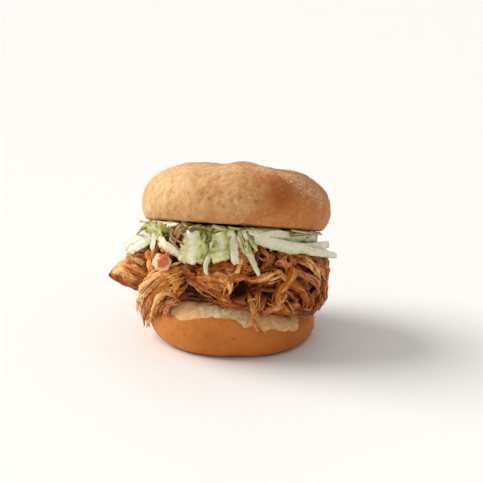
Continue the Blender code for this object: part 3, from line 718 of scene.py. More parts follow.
def frames(route, away=None):
    """Unit directions along a route, across it and outwards from the heap."""
    along = unit(np.gradient(route, axis=0))
    outward = unit(route * (1.0, 1.0, 0.0)) if away is None else away
    across = np.cross(along, outward)
    for index in range(len(route) - 2, -1, -1):
        if np.linalg.norm(across[index]) < STRAIGHT_OUT:
            across[index] = across[index + 1]
    across = unit(across - along * np.sum(across * along, axis=1, keepdims=True))
    return along, across, np.cross(across, along)


def wander(rng, share, size, waves=2.0):
    """A smooth random wobble along a route, one value for each point."""
    total = np.zeros(len(share))
    for octave in (1.0, 2.3):
        phase = rng.uniform(0, math.tau)
        total += np.sin(share * waves * octave * math.pi + phase) * rng.normal(0, size) / octave
    return total


turned = math.degrees(math.acos(frames(quarter_turn)[0][0] @ frames(quarter_turn)[0][-1]))
print("along that route the direction turns by", round(turned), "degrees")

# %% [markdown]
# ## Many small shapes in one mesh
# Hundreds of separate objects would be slow and hard to handle. A batch gathers small closed
# shapes instead: each is a row of rings along a route, joined by quads and closed by a flat cap
# at both ends. It also keeps a value of each kind for every point, such as a shred's own tone,
# and makes one mesh at the end, so that one finish can colour every shape differently.

# %% Batches
class Batch:
    """Small closed shapes of one kind, gathered into one mesh."""

    def __init__(self):
        self.points, self.quads, self.values, self.count = [], [], {}, 0

    def sweep(self, rings, **values):
        """Add a shape from its rings: an array of rows, sides and coordinates."""
        rows, sides = rings.shape[:2]
        index = np.arange(rows * sides).reshape(rows, sides)
        here, up = index[:-1], index[1:]
        walls = np.stack([here, up, np.roll(up, -1, 1), np.roll(here, -1, 1)], -1)
        cap = np.array([(i, i + 1, sides - 2 - i, sides - 1 - i) for i in range(sides // 2 - 1)])
        faces = np.vstack([walls.reshape(-1, 4), cap, index[-1, 0] + cap[:, ::-1]])
        self.quads.append(faces + self.count)
        self.points.append(rings.reshape(-1, 3))
        for name, value in values.items():
            full = np.broadcast_to(value, (rows, sides)).ravel()
            self.values.setdefault(name, []).append(full)
        self.count += rows * sides

    def build(self, name):
        """Make the mesh and its object, with the values stored on its points."""
        mesh = bpy.data.meshes.new(name)
        mesh.from_pydata((np.vstack(self.points) * MM).tolist(), [],
                         np.vstack(self.quads).tolist())
        for key, parts in self.values.items():
            store(mesh, key, np.concatenate(parts))
        return link(bpy.data.objects.new(name, mesh))


trial = Batch()
trial.sweep(np.zeros((9, 6, 3)))
print("nine rings of six points make", len(trial.quads[0]), "faces")

# %% [markdown]
# A strand of meat is a tube with lengthwise ridges. Each side of it gets its own random ridge,
# which changes slowly from one end to the other, and a little roughness on every point. How
# far a point stands up is stored too, because sauce stays in the grooves.

# %% Tubes
def tube(batch, route, across, outward, wide, thick, sides, ridge, rng, **values):
    """A strand with lengthwise ridges, as muscle fibres give it."""
    turn = np.linspace(0.0, math.tau, sides, endpoint=False)
    share = np.linspace(0.0, 1.0, len(route))[:, None]
    grooves = rng.normal(0, ridge, sides) * (1.0 - share) + rng.normal(0, ridge, sides) * share
    grooves += rng.normal(0, ridge * 0.35, (len(route), sides))
    size = np.clip(1.0 + grooves, 0.5, 1.6)
    flat = across[:, None] * (np.cos(turn) * size * wide[:, None])[..., None]
    deep = outward[:, None] * (np.sin(turn) * size * thick[:, None])[..., None]
    batch.sweep(route[:, None] + flat + deep, ridge=np.clip(0.5 + grooves / (3.0 * ridge), 0, 1),
                **values)


trial = Batch()
tube(trial, quarter_turn, *frames(quarter_turn)[1:], np.ones(len(quarter_turn)),
     np.ones(len(quarter_turn)), 10, 0.15, np.random.default_rng(1))
print("a strand along that route has", len(trial.quads[0]), "faces")

# %% [markdown]
# ## Packed cores
# Every gap between two shreds or strips looks through to what is packed under them. That can
# be plain, but it must be closed: a stack of rings all round the roll, with a fan of triangles
# to close each end. Noise along the normals makes it rough.

# %% Helpers for packed cores
CORE_SIDES = 200
ring_angles = np.linspace(-HALF_TURN, HALF_TURN, CORE_SIDES, endpoint=False)


def ring_stack(rings, ends):
    """A closed mesh from rings of places, with a point to close each end."""
    rows, sides = len(rings), len(rings[0])
    index = np.arange(rows * sides).reshape(rows, sides)
    here, up = index[:-1], index[1:]
    walls = np.stack([here, np.roll(here, -1, 1), np.roll(up, -1, 1), up], -1)
    first, last = rows * sides, rows * sides + 1
    fans = [(first, index[0, (i + 1) % sides], index[0, i]) for i in range(sides)]
    fans += [(last, index[-1, i], index[-1, (i + 1) % sides]) for i in range(sides)]
    faces = walls.reshape(-1, 4).tolist() + [tuple(int(v) for v in fan) for fan in fans]
    return np.vstack([np.vstack(rings), ends]), faces


def packed_core(name, rings, ends, lumps):
    """A packed core roughened by lumps; returns its object, its points and its relief."""
    points, faces = ring_stack(rings, ends)
    mesh = bpy.data.meshes.new(name)
    mesh.from_pydata((points * MM).tolist(), [], faces)
    move = lumps(points)
    points = points + normals_of(mesh) * move[:, None]
    put_points(mesh, points)
    return link(bpy.data.objects.new(name, mesh)), points, move


print("cores have a point at every", FULL_TURN / CORE_SIDES, "degrees")

# %% [markdown]
# ## Coleslaw
# Coleslaw is white cabbage cut into strips and dressed with something creamy. A strip is thin,
# a little thicker along its rib, wavy, and ragged where the knife tore it. Its green is stored
# as a number: 0 is white rib, 0.5 pale leaf, 1 dark leaf, and above 1.4 the strip is stained
# brown by sauce. The pieces listed here hang over the chicken and give the coleslaw its
# outline. Each row holds the half width at its start and end, its ripple, how far it is lifted
# off its neighbours, the green at its start and end, and its route as (angle, height) places;
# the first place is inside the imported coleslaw.

# %% Hanging leaves
HANGING_LEAVES = [
    # ragged white piece on the left, cut into teeth, and a green sliver above it
    (4.8, 3.0, 0.5, 0.0, 0.02, 0.00, [(-63, 65), (-70, 59.5), (-78, 52.8)]),
    (4.6, 2.0, 0.4, 0.0, 0.04, 0.00, [(-60, 66), (-65, 60), (-69, 53)]),
    (4.0, 0.9, 0.4, 0.0, 0.30, 0.05, [(-52, 66), (-51, 62), (-48, 58)]),
    (1.6, 0.8, 0.0, 1.8, 0.60, 0.40, [(-60, 68), (-73, 64.5), (-89, 59)]),
    # leafy piece behind it
    (4.2, 3.4, 0.6, 0.0, 0.80, 0.55, [(-47, 69), (-51, 66), (-54, 62)]),
    # long pale strip falling to the right
    (3.1, 2.9, 0.3, 0.0, 0.06, 0.02, [(-58, 66), (-49, 63), (-41, 60), (-30, 57.5)]),
    # wide hanging piece
    (5.4, 8.4, 0.9, 0.3, 0.16, 0.34, [(-24.5, 71), (-23, 64), (-22, 53.8)]),
    (2.6, 2.0, 0.4, 0.0, 0.95, 0.75, [(-14, 73), (-14.5, 67), (-15, 61)]),
    # leaf with a pointed rib, and the curl beside it
    (5.2, 4.4, 0.7, 0.0, 0.45, 0.30, [(-8, 70), (-7, 67), (-6, 61)]),
    (3.9, 2.0, 0.3, 0.0, 0.02, 0.00, [(-2, 72), (1, 64), (3.5, 55)]),
    (1.9, 1.2, 0.0, 0.8, 0.30, 0.10, [(-8, 67), (-12, 60), (-13.5, 54), (-12.4, 49.5)]),
    # drooping strip
    (2.6, 1.2, 0.0, 0.0, 0.35, 0.02, [(6, 68), (9, 63.5), (12.5, 57), (15.7, 49)]),
    # long strips along the right
    (3.2, 2.2, 0.5, 0.0, 0.02, -0.04, [(5, 73), (17, 71), (32, 68.6), (46, 67)]),
    (3.3, 2.6, 0.5, 0.8, 0.04, -0.02, [(10, 68), (24, 64), (42, 59.9), (62, 56.4), (81, 53.9)]),
    (2.7, 1.5, 0.3, 3.0, 0.00, 0.00, [(34, 62), (50, 57), (66, 52), (84, 46)]),
    (1.6, 0.9, 0.0, 0.0, 0.90, 0.80, [(64, 65), (72, 61.5), (80, 58)]),
]
print("large hanging leaves:", len(HANGING_LEAVES))

# %% [markdown]
# Between the large pieces the gaps are full of small torn bits, folds and stained strips. They
# are listed in the same way. The sides and the back are dressed by a rule with a fixed seed:
# it gives the same leaves each time, at the same places as in the solid.

# %% Torn bits and back leaves
TORN_BITS = [
    # white tooth between the two on the left, and yellow green bits above it
    (4.2, 3.0, 0.5, 0.3, 0.02, 0.00, [(-61, 66), (-66, 59.5), (-71.5, 52)]),
    (3.6, 2.6, 0.4, 0.5, 0.02, 0.00, [(-57, 66), (-57.5, 61), (-58, 55.5)]),
    (2.6, 2.2, 0.6, 0.8, 0.62, 0.50, [(-76, 71), (-67, 68), (-56, 66)]),
    (2.4, 2.2, 0.6, 1.2, 0.64, 0.50, [(-44, 73), (-54, 70), (-65, 66)]),
    (2.6, 2.0, 0.6, 1.4, 0.75, 0.60, [(-62, 73), (-53, 69), (-46, 65)]),
    # strips painted brown left of the wide piece: sauce stain and painted shade under the crown
    (1.8, 1.3, 0.5, 0.8, 1.70, 1.60, [(-43, 72), (-38, 69), (-33, 65)]),
    (1.7, 1.2, 0.5, 1.0, 1.75, 1.60, [(-31, 73), (-34, 69), (-38, 63.5)]),
    (1.3, 0.8, 0.4, 1.4, 2.00, 1.90, [(-29, 71), (-33, 67), (-36, 61.5)]),
    (0.9, 0.7, 0.4, 1.6, 1.60, 1.90, [(-41, 68), (-35, 65), (-29, 63)]),
    (0.9, 0.6, 0.4, 1.7, 1.90, 1.70, [(-42, 65), (-36, 63), (-31, 60)]),
    (1.6, 1.1, 0.4, 0.8, 1.60, 1.50, [(-29, 74), (-21, 72.3), (-13, 71)]),
    # thin green sliver that stands off at the left
    (1.1, 0.7, 0.2, 4.5, 0.95, 0.85, [(-60, 67), (-71, 62.5), (-84, 58)]),
    # folds at the right of the wide piece
    (1.6, 1.0, 0.4, 0.9, 1.00, 0.80, [(-14, 68), (-17, 63), (-20, 60)]),
    (1.4, 0.9, 0.3, 0.8, 0.90, 0.70, [(-13, 64), (-16, 60), (-18, 57)]),
    # dark folds beside the wide piece and round the rib
    (2.2, 1.6, 0.3, 0.4, 1.10, 0.95, [(-17, 73), (-15.5, 66), (-14.5, 60)]),
    (1.3, 0.8, 0.3, 0.8, 1.15, 1.00, [(5, 72), (7.5, 67), (9, 62)]),
    (2.2, 1.4, 0.4, 0.4, 0.60, 0.35, [(6, 71), (8.5, 66), (10, 60)]),
    (2.0, 1.5, 0.4, 0.4, 0.50, 0.30, [(11, 71), (14, 66.5), (16, 63)]),
    (2.0, 1.5, 0.4, 1.0, 1.20, 1.05, [(8, 73), (11, 69), (13.5, 65)]),
    (1.4, 1.0, 0.4, 1.0, 0.95, 0.60, [(9, 70), (13, 65), (16, 60.5)]),
    # lower part of the leaf behind the rib, and the drooping strip's broad top
    (5.8, 4.6, 0.5, -0.2, 0.42, 0.42, [(-7, 69), (-6.5, 62), (-5, 56)]),
    (4.2, 2.2, 0.4, -0.3, 0.40, 0.20, [(5, 70), (8, 65), (11, 58)]),
    (2.6, 2.0, 0.4, -0.2, 0.75, 0.55, [(-13, 70), (-12.5, 64), (-11, 58.5)]),
    # pale leaf above the long strips, and yellow green bits under the crown's right side
    (3.0, 2.4, 0.5, 0.8, 0.35, 0.15, [(4, 75), (12, 73), (22, 71.5)]),
    (2.6, 2.2, 0.4, 1.0, 0.14, 0.10, [(14, 75), (27, 71.2), (42, 69), (54, 67.5)]),
    (1.0, 0.7, 0.2, 2.6, 1.10, 1.00, [(36, 69), (44, 67), (52, 66.6)]),
    (1.6, 1.2, 0.3, 0.6, 0.85, 0.70, [(46, 72), (54, 69.5), (61, 67)]),
    (2.4, 2.0, 0.4, 0.2, 0.20, 0.10, [(44, 73), (58, 70), (70, 68)]),
    (2.2, 1.8, 0.4, 0.2, 0.15, 0.20, [(58, 72), (70, 69), (82, 67)]),
    (1.6, 1.0, 0.3, 0.4, 0.80, 0.60, [(68, 71), (76, 67), (83, 62)]),
    # dark green folds across the right of the wide piece
    (0.9, 0.6, 0.3, 1.5, 1.15, 1.00, [(-10, 68), (-14.5, 64.8), (-20, 61.3)]),
    (0.8, 0.5, 0.3, 1.3, 1.00, 0.80, [(-8, 66), (-10.5, 62.5), (-13.5, 59)]),
]
BACK_LEAVES = 9
BACK_START = 94.0
LEAF_ARC = 172.0


def back_leaves():
    """The seeded leaves of the sides and the back."""
    rng = random.Random(17)
    for index in range(BACK_LEAVES):
        angle = BACK_START + LEAF_ARC * (index + rng.uniform(0.2, 0.8)) / BACK_LEAVES
        high = float(crown_cut(place(angle, SLAW_RADIUS, 0.0))) - 4.5
        drop = rng.uniform(6.0, 13.0)
        sway = rng.uniform(-12.0, 12.0)
        wide = rng.uniform(1.8, 4.4)
        green = rng.uniform(0.0, 0.7)
        yield wide, wide * 0.5, 0.4, 0.4, green, 0.1, [
            (angle, high), (angle + sway * 0.5, high - drop * 0.45), (angle + sway, high - drop)]


print("torn bits:", len(TORN_BITS), "and leaves round the back:", BACK_LEAVES)

# %% [markdown]
# A leaf has to lie on the chicken, not in it. Cloth simulation could drop it there, but would
# move it away from its place. A ray shot inwards from outside finds how far out the solid
# chicken reaches, and the leaf is laid just above the farthest of the places under it. It
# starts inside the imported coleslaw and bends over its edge.

# %% Lay a leaf over the chicken
LEAF_THICK = 1.5
GAP = 0.4
TUCKED_IN = 3.0
EDGE_OUT = 1.5
RAY_START = 95.0
UNDER_SIDE = 5.0
chicken_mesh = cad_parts["pulled_chicken"].data
chicken_tree = BVHTree.FromPolygons([v.co.copy() for v in chicken_mesh.vertices],
                                    [tuple(p.vertices) for p in chicken_mesh.polygons])


def outside(angle, height):
    """How far out the solid chicken reaches at an angle and a height, or None."""
    start = Vector(place(angle, RAY_START, height) * MM)
    hit = chicken_tree.ray_cast(start, Vector(-place(angle, 1.0, 0.0)))[0]
    return None if hit is None else hit.xy.length / MM


def half_rise(start_width, route):
    """How far a leaf stands above and below its route, by its width and its slope."""
    sideways = math.radians(abs(route[1][0] - route[0][0])) * SLAW_RADIUS
    slope = math.atan2(abs(route[1][1] - route[0][1]), sideways)
    return start_width * math.cos(slope) + 0.5 * LEAF_THICK + 2.0 * GAP


def drape(start_width, ripple, lift, route):
    """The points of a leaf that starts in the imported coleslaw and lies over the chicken."""
    upright = half_rise(start_width, route)
    points = []
    for number, (angle, height) in enumerate(route):
        radius = SLAW_RADIUS - TUCKED_IN
        if number > 0:
            reach = [outside(angle + side, height + level)
                     for side in (-UNDER_SIDE, 0.0, UNDER_SIDE)
                     for level in (-upright, 0.0, upright)]
            reach = [value for value in reach if value is not None] or [SLAW_RADIUS]
            radius = max(reach) + 0.5 * LEAF_THICK + ripple + 2.0 * GAP + lift
        spot = place(angle, radius, height)
        spot[2] = min(spot[2], float(crown_cut(spot)) - upright)
        if number == 0:
            spot[2] = max(spot[2], float(chicken_top(spot)) + upright)
        points.append(spot)
    turn = route[0][0] * 0.6 + route[1][0] * 0.4
    edge = place(turn, SLAW_RADIUS + EDGE_OUT + lift, points[0][2] * 0.8 + points[1][2] * 0.2)
    edge[2] = min(edge[2], float(crown_cut(edge)) - upright)
    return [points[0], edge] + points[1:]


print("chicken reaches", round(outside(0.0, 45.0), 1), "mm out in front of the coleslaw")

# %% [markdown]
# The shreds of chicken come later, and must not poke through the leaves. So each leaf notes in
# a table, one cell for every half degree and half millimetre, how far out it lies there: a roof
# that the shreds are pressed under at the end. That is why the coleslaw is made first.

# %% The roof of leaves
ROOF_STEP = 0.5
ROOF_TURNS = int(FULL_TURN / ROOF_STEP)
ROOF_ROWS = 200
roof = np.full((ROOF_TURNS, ROOF_ROWS), np.inf)


def roof_cell(points):
    """The small cell of angle and height that each point falls in, and its radius."""
    angle, radius = polar(points)
    turn = ((angle + HALF_TURN) / ROOF_STEP).astype(int) % ROOF_TURNS
    return turn, np.clip((points[..., 2] / ROOF_STEP).astype(int), 0, ROOF_ROWS - 1), radius


def note_roof(middle):
    """Note how far out a leaf lies, at its points and at steps between them."""
    for down in np.linspace(0.0, 1.0, 4):
        for side in np.linspace(0.0, 1.0, 5):
            upper = middle[:-1, :-1] * (1.0 - side) + middle[:-1, 1:] * side
            lower = middle[1:, :-1] * (1.0 - side) + middle[1:, 1:] * side
            turn, row, radius = roof_cell(upper * (1.0 - down) + lower * down)
            np.minimum.at(roof, (turn, row), radius)


print("roof cells:", roof.size)

# %% [markdown]
# ## A leaf
# A knife leaves a strip with wandering edges, and a leaf has a rib with veins that branch off
# it. These are small rules of their own. They work on a grid of points that lies along the
# strip: `share` runs from 0 to 1 along it, and `u` from -1 to 1 across it.

# %% Edges and veins
VEIN_SPACING = 3.2


def grid_grain(grid, wave, seed):
    """Smooth noise for each point of a grid of rows and columns."""
    return grain(grid.reshape(-1, 3), wave, seed).reshape(grid.shape[:2])


def rolled(route, degrees):
    """The directions along a route, rolled about its own line."""
    along, across, outward = frames(route)
    turn = math.radians(degrees)
    return (along, across * math.cos(turn) + outward * math.sin(turn),
            outward * math.cos(turn) - across * math.sin(turn))


def ragged_half(rng, share, end):
    """How wide one half of a strip is along its length, against its plain width."""
    return (1.0 + wander(rng, share, 0.08, 4.0) + wander(rng, share, 0.04, 13.0)) * (0.5 + 0.5 * end)


def veins_at(route, share, u):
    """Veins that branch off the rib: 1 on a vein, 0 between two."""
    run = share * np.linalg.norm(np.diff(route, axis=0), axis=1).sum()
    branch = np.abs((run[:, None] / VEIN_SPACING + 0.7 * np.abs(u)) % 1.0 - 0.5)
    return np.clip(1.0 - branch * 5.0, 0.0, 1.0)


slanted = rolled(quarter_turn, 30.0)[2][0]
print("a strip rolled by 30 degrees faces up by", round(float(slanted[2]), 2))

# %% [markdown]
# `leaf` lays the grid along a route and then does to it what happened to the real strip. Its
# edges wander, it is cupped, soft noise ripples it more at its edges than at its rib, and its
# end is torn. The grid is the middle of the strip; half the thickness goes to each side, so
# that it has two faces and a real edge. Its green rises towards the edges and falls along the
# rib and the veins. Only wide leaves have enough columns to carry veins.

# %% Leaf
WIDE_COLUMNS = 11
NARROW_COLUMNS = 7
PLAIN_COLUMNS = 5
VEIN_HEIGHT = 0.12


def leaf(batch, route, widths, thick, ripple, greens, rng, roll=0.0, columns=PLAIN_COLUMNS,
         blunt=0.12):
    """A thin wavy strip of cabbage along a route; returns the surface half way through it."""
    along, across, outward = rolled(route, roll)
    share = np.linspace(0.0, 1.0, len(route))
    width = np.interp(share, [0.0, 1.0], widths)[:, None]
    end = np.clip((1.0 - share) / blunt, 0.0, 1.0) ** 0.5
    u = np.linspace(-1.0, 1.0, columns)
    left, right = (ragged_half(rng, share, end)[:, None] for half in range(2))
    spread = np.where(u < 0, left, right) * u * width
    middle = route[:, None] + across[:, None] * spread[..., None]
    wave = rng.uniform(3.4, 5.2)
    seed = int(rng.integers(100, 900))
    pucker = grid_grain(middle, wave, seed)
    fold = grid_grain(middle, wave * 0.4, seed + 1)
    cup = rng.normal(-0.04, 0.08) * width * (u ** 2 - 0.3)
    lift = ripple * (1.5 * pucker * (0.35 + 0.65 * np.abs(u)) + 0.4 * fold) + cup
    tear = grid_grain(middle, 1.7, seed + 2) + 0.3 * pucker
    tear = 0.5 * min(widths[1], 4.0) * tear * share[:, None] ** 6
    middle = middle + outward[:, None] * lift[..., None] + along[:, None] * tear[..., None]
    rib = np.exp(-((u - rng.normal(0, 0.2)) / 0.3) ** 2)
    vein = veins_at(route, share, u) * (columns > NARROW_COLUMNS)
    half = thick * (0.3 + 0.35 * (1.0 - u ** 2) + 0.35 * rib) * (0.4 + 0.6 * end[:, None])
    half = half + VEIN_HEIGHT * vein
    front = middle + outward[:, None] * half[..., None]
    back = middle - outward[:, None] * half[..., None]
    green = np.interp(share, [0.0, 1.0], greens)[:, None] + 0.2 * np.abs(u) - 0.3 * rib
    green = green + 0.07 * (seed % 5 - 2) * u + 0.16 * pucker + 0.1 * fold - 0.18 * vein
    rings = np.concatenate([front[:, ::-1], back[:, 1:-1]], axis=1)
    round_green = np.concatenate([green[:, ::-1], green[:, 1:-1]], axis=1)
    batch.sweep(rings, green=np.clip(round_green, 0.0, 2.0))
    return middle


print("points across a wide leaf:", WIDE_COLUMNS, "and across a thin strip:", PLAIN_COLUMNS)

# %% [markdown]
# Now the listed leaves are cut and hung. The wide ones get more columns, and blunter ends.

# %% Hang the leaves
HUNG_SPACING = 0.5
HUNG_THICK = 0.5
WIDE_START = 2.5
WIDE_END = 3.0
leaves = Batch()
knife = np.random.default_rng(23)
for start, end, ripple, lift, green, green_end, route in (HANGING_LEAVES + TORN_BITS
                                                          + list(back_leaves())):
    laid = leaf(leaves, even_route(drape(start, ripple, lift, route), HUNG_SPACING),
                (start, end), HUNG_THICK, ripple + 0.25, (green, green_end), knife,
                columns=WIDE_COLUMNS if start > WIDE_START else NARROW_COLUMNS,
                blunt=0.06 if end > WIDE_END else 0.12)
    note_roof(laid)
print("hanging leaves:", len(leaves.points), "and roof cells covered:", np.isfinite(roof).sum())

# %% [markdown]
# ## Strips along the rim
# The imported coleslaw under the crown is a tangle of many more strips. Most lie along the rim,
# each tilted about its length by a random roll, which gives it its own light. Near the front,
# left of the middle, more of the strips are leaf than rib, so they are greener there, and the
# highest of them, just under the crown, turn brown; this green and brown is partly leaf and
# sauce stain, and partly painted shade under the crown's edge.

# %% Rim strips
RIM_STRIPS = 230
RIM_LENGTHS = (8.0, 22.0)
RIM_RADII = (43.2, 46.2)
RIM_WIDTHS = (0.8, 2.2)
RIM_ROLL = 55.0
STRIP_SPACING = 0.98
ROUTE_SHARES = (-0.5, -0.17, 0.17, 0.5)
LEAFY_MIDDLE = -24.0
LEAFY_REACH = 18.0
GREENS = [0.02, 0.1, 0.2, 0.35, 0.6, 0.85]
GREEN_ODDS = [0.28, 0.26, 0.18, 0.12, 0.1, 0.06]


def leafy_and_shaded(angle):
    """How much leaf green and painted shade the coleslaw gets at an angle, from 0 to 1."""
    return math.exp(-((angle - LEAFY_MIDDLE) / LEAFY_REACH) ** 4)


def slaw_room(angle, below, above):
    """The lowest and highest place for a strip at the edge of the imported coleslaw."""
    spot = place(angle, SLAW_RADIUS, 0.0)
    return float(chicken_top(spot)) + below, float(crown_cut(spot)) - above


for number in range(RIM_STRIPS):
    angle = knife.uniform(-HALF_TURN, HALF_TURN)
    low, high = slaw_room(angle, 1.4, 1.6)
    height = knife.uniform(low, high)
    length = knife.uniform(*RIM_LENGTHS)
    slant = knife.normal(0.0, 0.22)
    points = []
    for share in ROUTE_SHARES:
        turn = angle + math.degrees(length * share / 45.0)
        shift = slaw_room(turn, 1.4, 1.6)[1] - high
        level = height + shift + length * share * slant + knife.normal(0.0, 0.4)
        level = min(max(level, low + shift), high + shift)
        points.append(place(turn, knife.uniform(*RIM_RADII), level))
    wide = knife.uniform(*RIM_WIDTHS)
    green = knife.choice(GREENS, p=GREEN_ODDS)
    # painted shade with the sauce stain: the highest strips, under the crown, turn brown
    stain_and_shade = 1.0 + 0.8 * (height - low) / (high - low)
    green = max(green, stain_and_shade * leafy_and_shaded(angle))
    leaf(leaves, even_route(points, STRIP_SPACING), (wide, wide * 0.7), 0.42, 0.35,
         (green, green * 0.6), knife, roll=knife.uniform(-RIM_ROLL, RIM_ROLL))
print("strips with the rim:", len(leaves.points))

# %% [markdown]
# Some strips point outwards, so that their cut ends show and droop a little.

# %% Cut ends
CUT_ENDS = 120
CUT_LENGTHS = (45.5, 49.0)
CUT_WIDTHS = (0.8, 1.9)
CUT_ROLL = 70.0
for number in range(CUT_ENDS):
    angle = knife.uniform(-HALF_TURN, HALF_TURN)
    height = knife.uniform(*slaw_room(angle, 1.2, 1.4))
    sway = knife.normal(0.0, 7.0)
    reach = knife.uniform(*CUT_LENGTHS) - 2.0 * max(math.cos(math.radians(angle)), 0.0)
    droop = knife.uniform(0.0, 3.0)
    inner = place(angle - sway, 38.0, 0.0)
    inner[2] = 0.5 * (float(chicken_top(inner)) + float(crown_cut(inner)))
    points = [inner,
              place(angle - sway * 0.3, 43.0, height),
              place(angle + sway * 0.3, 0.5 * (43.0 + reach), height - droop * 0.25),
              place(angle + sway, reach, height - droop)]
    wide = knife.uniform(*CUT_WIDTHS)
    # greener and darker under the crown's front left: leaf colour and painted shade
    green = max(knife.choice([0.03, 0.15, 0.4, 0.8], p=[0.4, 0.3, 0.18, 0.12]),
                1.05 * leafy_and_shaded(angle))
    leaf(leaves, even_route(points, 0.8), (wide, wide * 0.8), 0.45, 0.3, (green, green), knife,
         roll=knife.uniform(-CUT_ROLL, CUT_ROLL))
print("strips with the cut ends:", len(leaves.points))

# %% [markdown]
# Others lie flat against the crown round the sides and the back, which closes the slit below
# its edge. There is none across the front, where the hanging leaves start.

# %% Flat strips
FLAT_STRIPS = 90
FLAT_FROM = 48.0
FLAT_TO = 305.0
FLAT_LENGTHS = (10.0, 20.0)
FLAT_RADII = (44.0, 48.5)
for number in range(FLAT_STRIPS):
    angle = knife.uniform(FLAT_FROM, FLAT_TO)
    length = knife.uniform(*FLAT_LENGTHS)
    out = knife.uniform(*FLAT_RADII)
    points = []
    for share in ROUTE_SHARES:
        spot = place(angle + math.degrees(length * share / out), out + knife.normal(0.0, 0.8), 0.0)
        spot[2] = float(crown_cut(spot)) - knife.uniform(0.7, 1.4)
        points.append(spot)
    green = knife.choice([0.05, 0.2, 0.5, 0.85], p=[0.35, 0.3, 0.2, 0.15])
    leaf(leaves, even_route(points, STRIP_SPACING), (1.6, 1.2), 0.4, 0.2,
         (green, green * 0.7), knife, roll=knife.uniform(60.0, 110.0))
print("strips in all:", len(leaves.points))

# %% [markdown]
# A rough core behind the strips closes the gaps between them. Its rings are given as shares of
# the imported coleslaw's radius and of its height at each place.

# %% Packed coleslaw
SLAW_SECTION = [(0.35, 0.0), (0.7, 0.0), (0.9, 0.0), (0.96, 0.25), (0.97, 0.5), (0.96, 0.75),
                (0.9, 1.0), (0.7, 1.0), (0.35, 1.0)]
SLAW_FLOOR = 0.4
SLAW_INSET = 1.2
slaw_rings = []
for share, rise in SLAW_SECTION:
    spots = place(ring_angles, (SLAW_RADIUS - SLAW_INSET) * share, 0.0)
    low, high = chicken_top(spots) + SLAW_FLOOR, crown_cut(spots) - 0.5
    spots[:, 2] = low + (high - low) * rise
    slaw_rings.append(spots)
slaw_ends = [(0, 0, float(chicken_top(np.zeros(3))) + SLAW_FLOOR), (0, 0, CROWN_CENTRE[2] - 0.5)]
packed_slaw, slaw_points, slaw_move = packed_core(
    "packed_coleslaw", slaw_rings, slaw_ends, lambda points: 0.5 * grain(points, 3.0, 51) - 0.3)
store(packed_slaw.data, "green", np.clip(0.4 + 0.5 * grain(slaw_points, 5.0, 52), 0.0, 1.0))
print("packed coleslaw roughened by", round(float(np.ptp(slaw_move)), 2), "mm")

# %% [markdown]
# Cabbage is waxy and half clear; with dressing on it, it shines softly, which a thin coat
# gives. Its finish goes by the stored green from white through pale green and yellow green to
# dark leaf, and above that to brown, which is sauce stain and painted shade. Spots of cream lie
# over it. The imported core lies in shade, so it gets a brown layer more.

# %% Cabbage finish
def cabbage_finish(name):
    made = Finish(name, 0.4, 0.4, coat=0.2, coat_roughness=0.2)
    veins = made.ramp(made.spots(420.0, 4.0, 0.65), 0.35, 0.65, -0.14, 0.14)
    green = made.sum(made.stored("green"), veins)
    made.colour(made.blend(made.ramp(green, 0.0, 0.36), srgb(230, 223, 196), srgb(196, 192, 130)))
    made.lay(made.ramp(green, 0.36, 0.72), srgb(174, 174, 74))
    made.lay(made.ramp(green, 0.72, 1.2), srgb(80, 86, 20))
    # brown for sauce stain and painted shade
    stain_and_shade = made.blend(made.ramp(green, 1.5, 2.0), srgb(112, 72, 24), srgb(178, 138, 66))
    made.lay(made.ramp(green, 1.3, 1.45), stain_and_shade)
    cream = made.ramp(made.spots(160.0, 3.0, 0.6), 0.55, 0.68)
    made.lay(made.times(cream, 0.35), srgb(234, 220, 192))
    made.roughness(made.ramp(made.spots(300.0, 2.0), 0.35, 0.65, 0.3, 0.5))
    made.bump(made.spots(900.0, 3.0, 0.6), 0.25, 0.2)
    return made


cabbage = cabbage_finish("coleslaw_cabbage")
shaded = cabbage_finish("packed_cabbage")
shaded.lay(shaded.ramp(shaded.spots(300.0, 2.0), 0.2, 0.8, 0.4, 0.85), srgb(112, 88, 40))
finish_piece(leaves.build("cabbage_strips"), "coleslaw", cabbage.material)
finish_piece(packed_slaw, "coleslaw", shaded.material)

# %% [markdown]
# ## Packed chicken
# Under the loose shreds lies the imported meat. It is hardly seen, but every gap between two
# shreds looks through to it, so it has to be rough, wet with sauce and dark; much of the dark is
# painted shade, deepest in its dips and in the open hollows. Its rings start on the heel's cut
# face, climb a little inside the solid's side, and end under the coleslaw. The noise is squeezed
# upwards, so that its lumps lie sideways like packed shreds.

# %% Packed chicken
CORE_LEVELS = 34
CORE_INSET = 1.0
OFF_THE_HEEL = 0.3
core_rings = []
for radius in (14.0, 27.0, RIM_RADIUS - 1.0):
    spots = place(ring_angles, radius, 0.0)
    climb = (around(RIM_LINE, ring_angles) - HEEL_MIDDLE) * (radius / RIM_RADIUS) ** 2
    spots[:, 2] = HEEL_MIDDLE + climb + OFF_THE_HEEL
    core_rings.append(spots)
low = np.maximum(around(CHICKEN_SKIRT, ring_angles), around(RIM_LINE, ring_angles) + 0.6)
high = chicken_top(place(ring_angles, SLAW_RADIUS, 0.0))
for level in range(CORE_LEVELS + 1):
    height = low + (high - low) * level / CORE_LEVELS
    core_rings.append(place(ring_angles, chicken_side(ring_angles, height) - CORE_INSET, height))
for radius in (30.0, 15.0):
    spots = place(ring_angles, radius, 0.0)
    spots[:, 2] = chicken_top(spots)
    core_rings.append(spots)


def core_lumps(points):
    return (0.9 * grain(points * (1.0, 1.0, 2.2), 5.0, 31)
            + 0.7 * grain(points * (1.0, 1.0, 3.2), 2.4, 32)) - 0.2


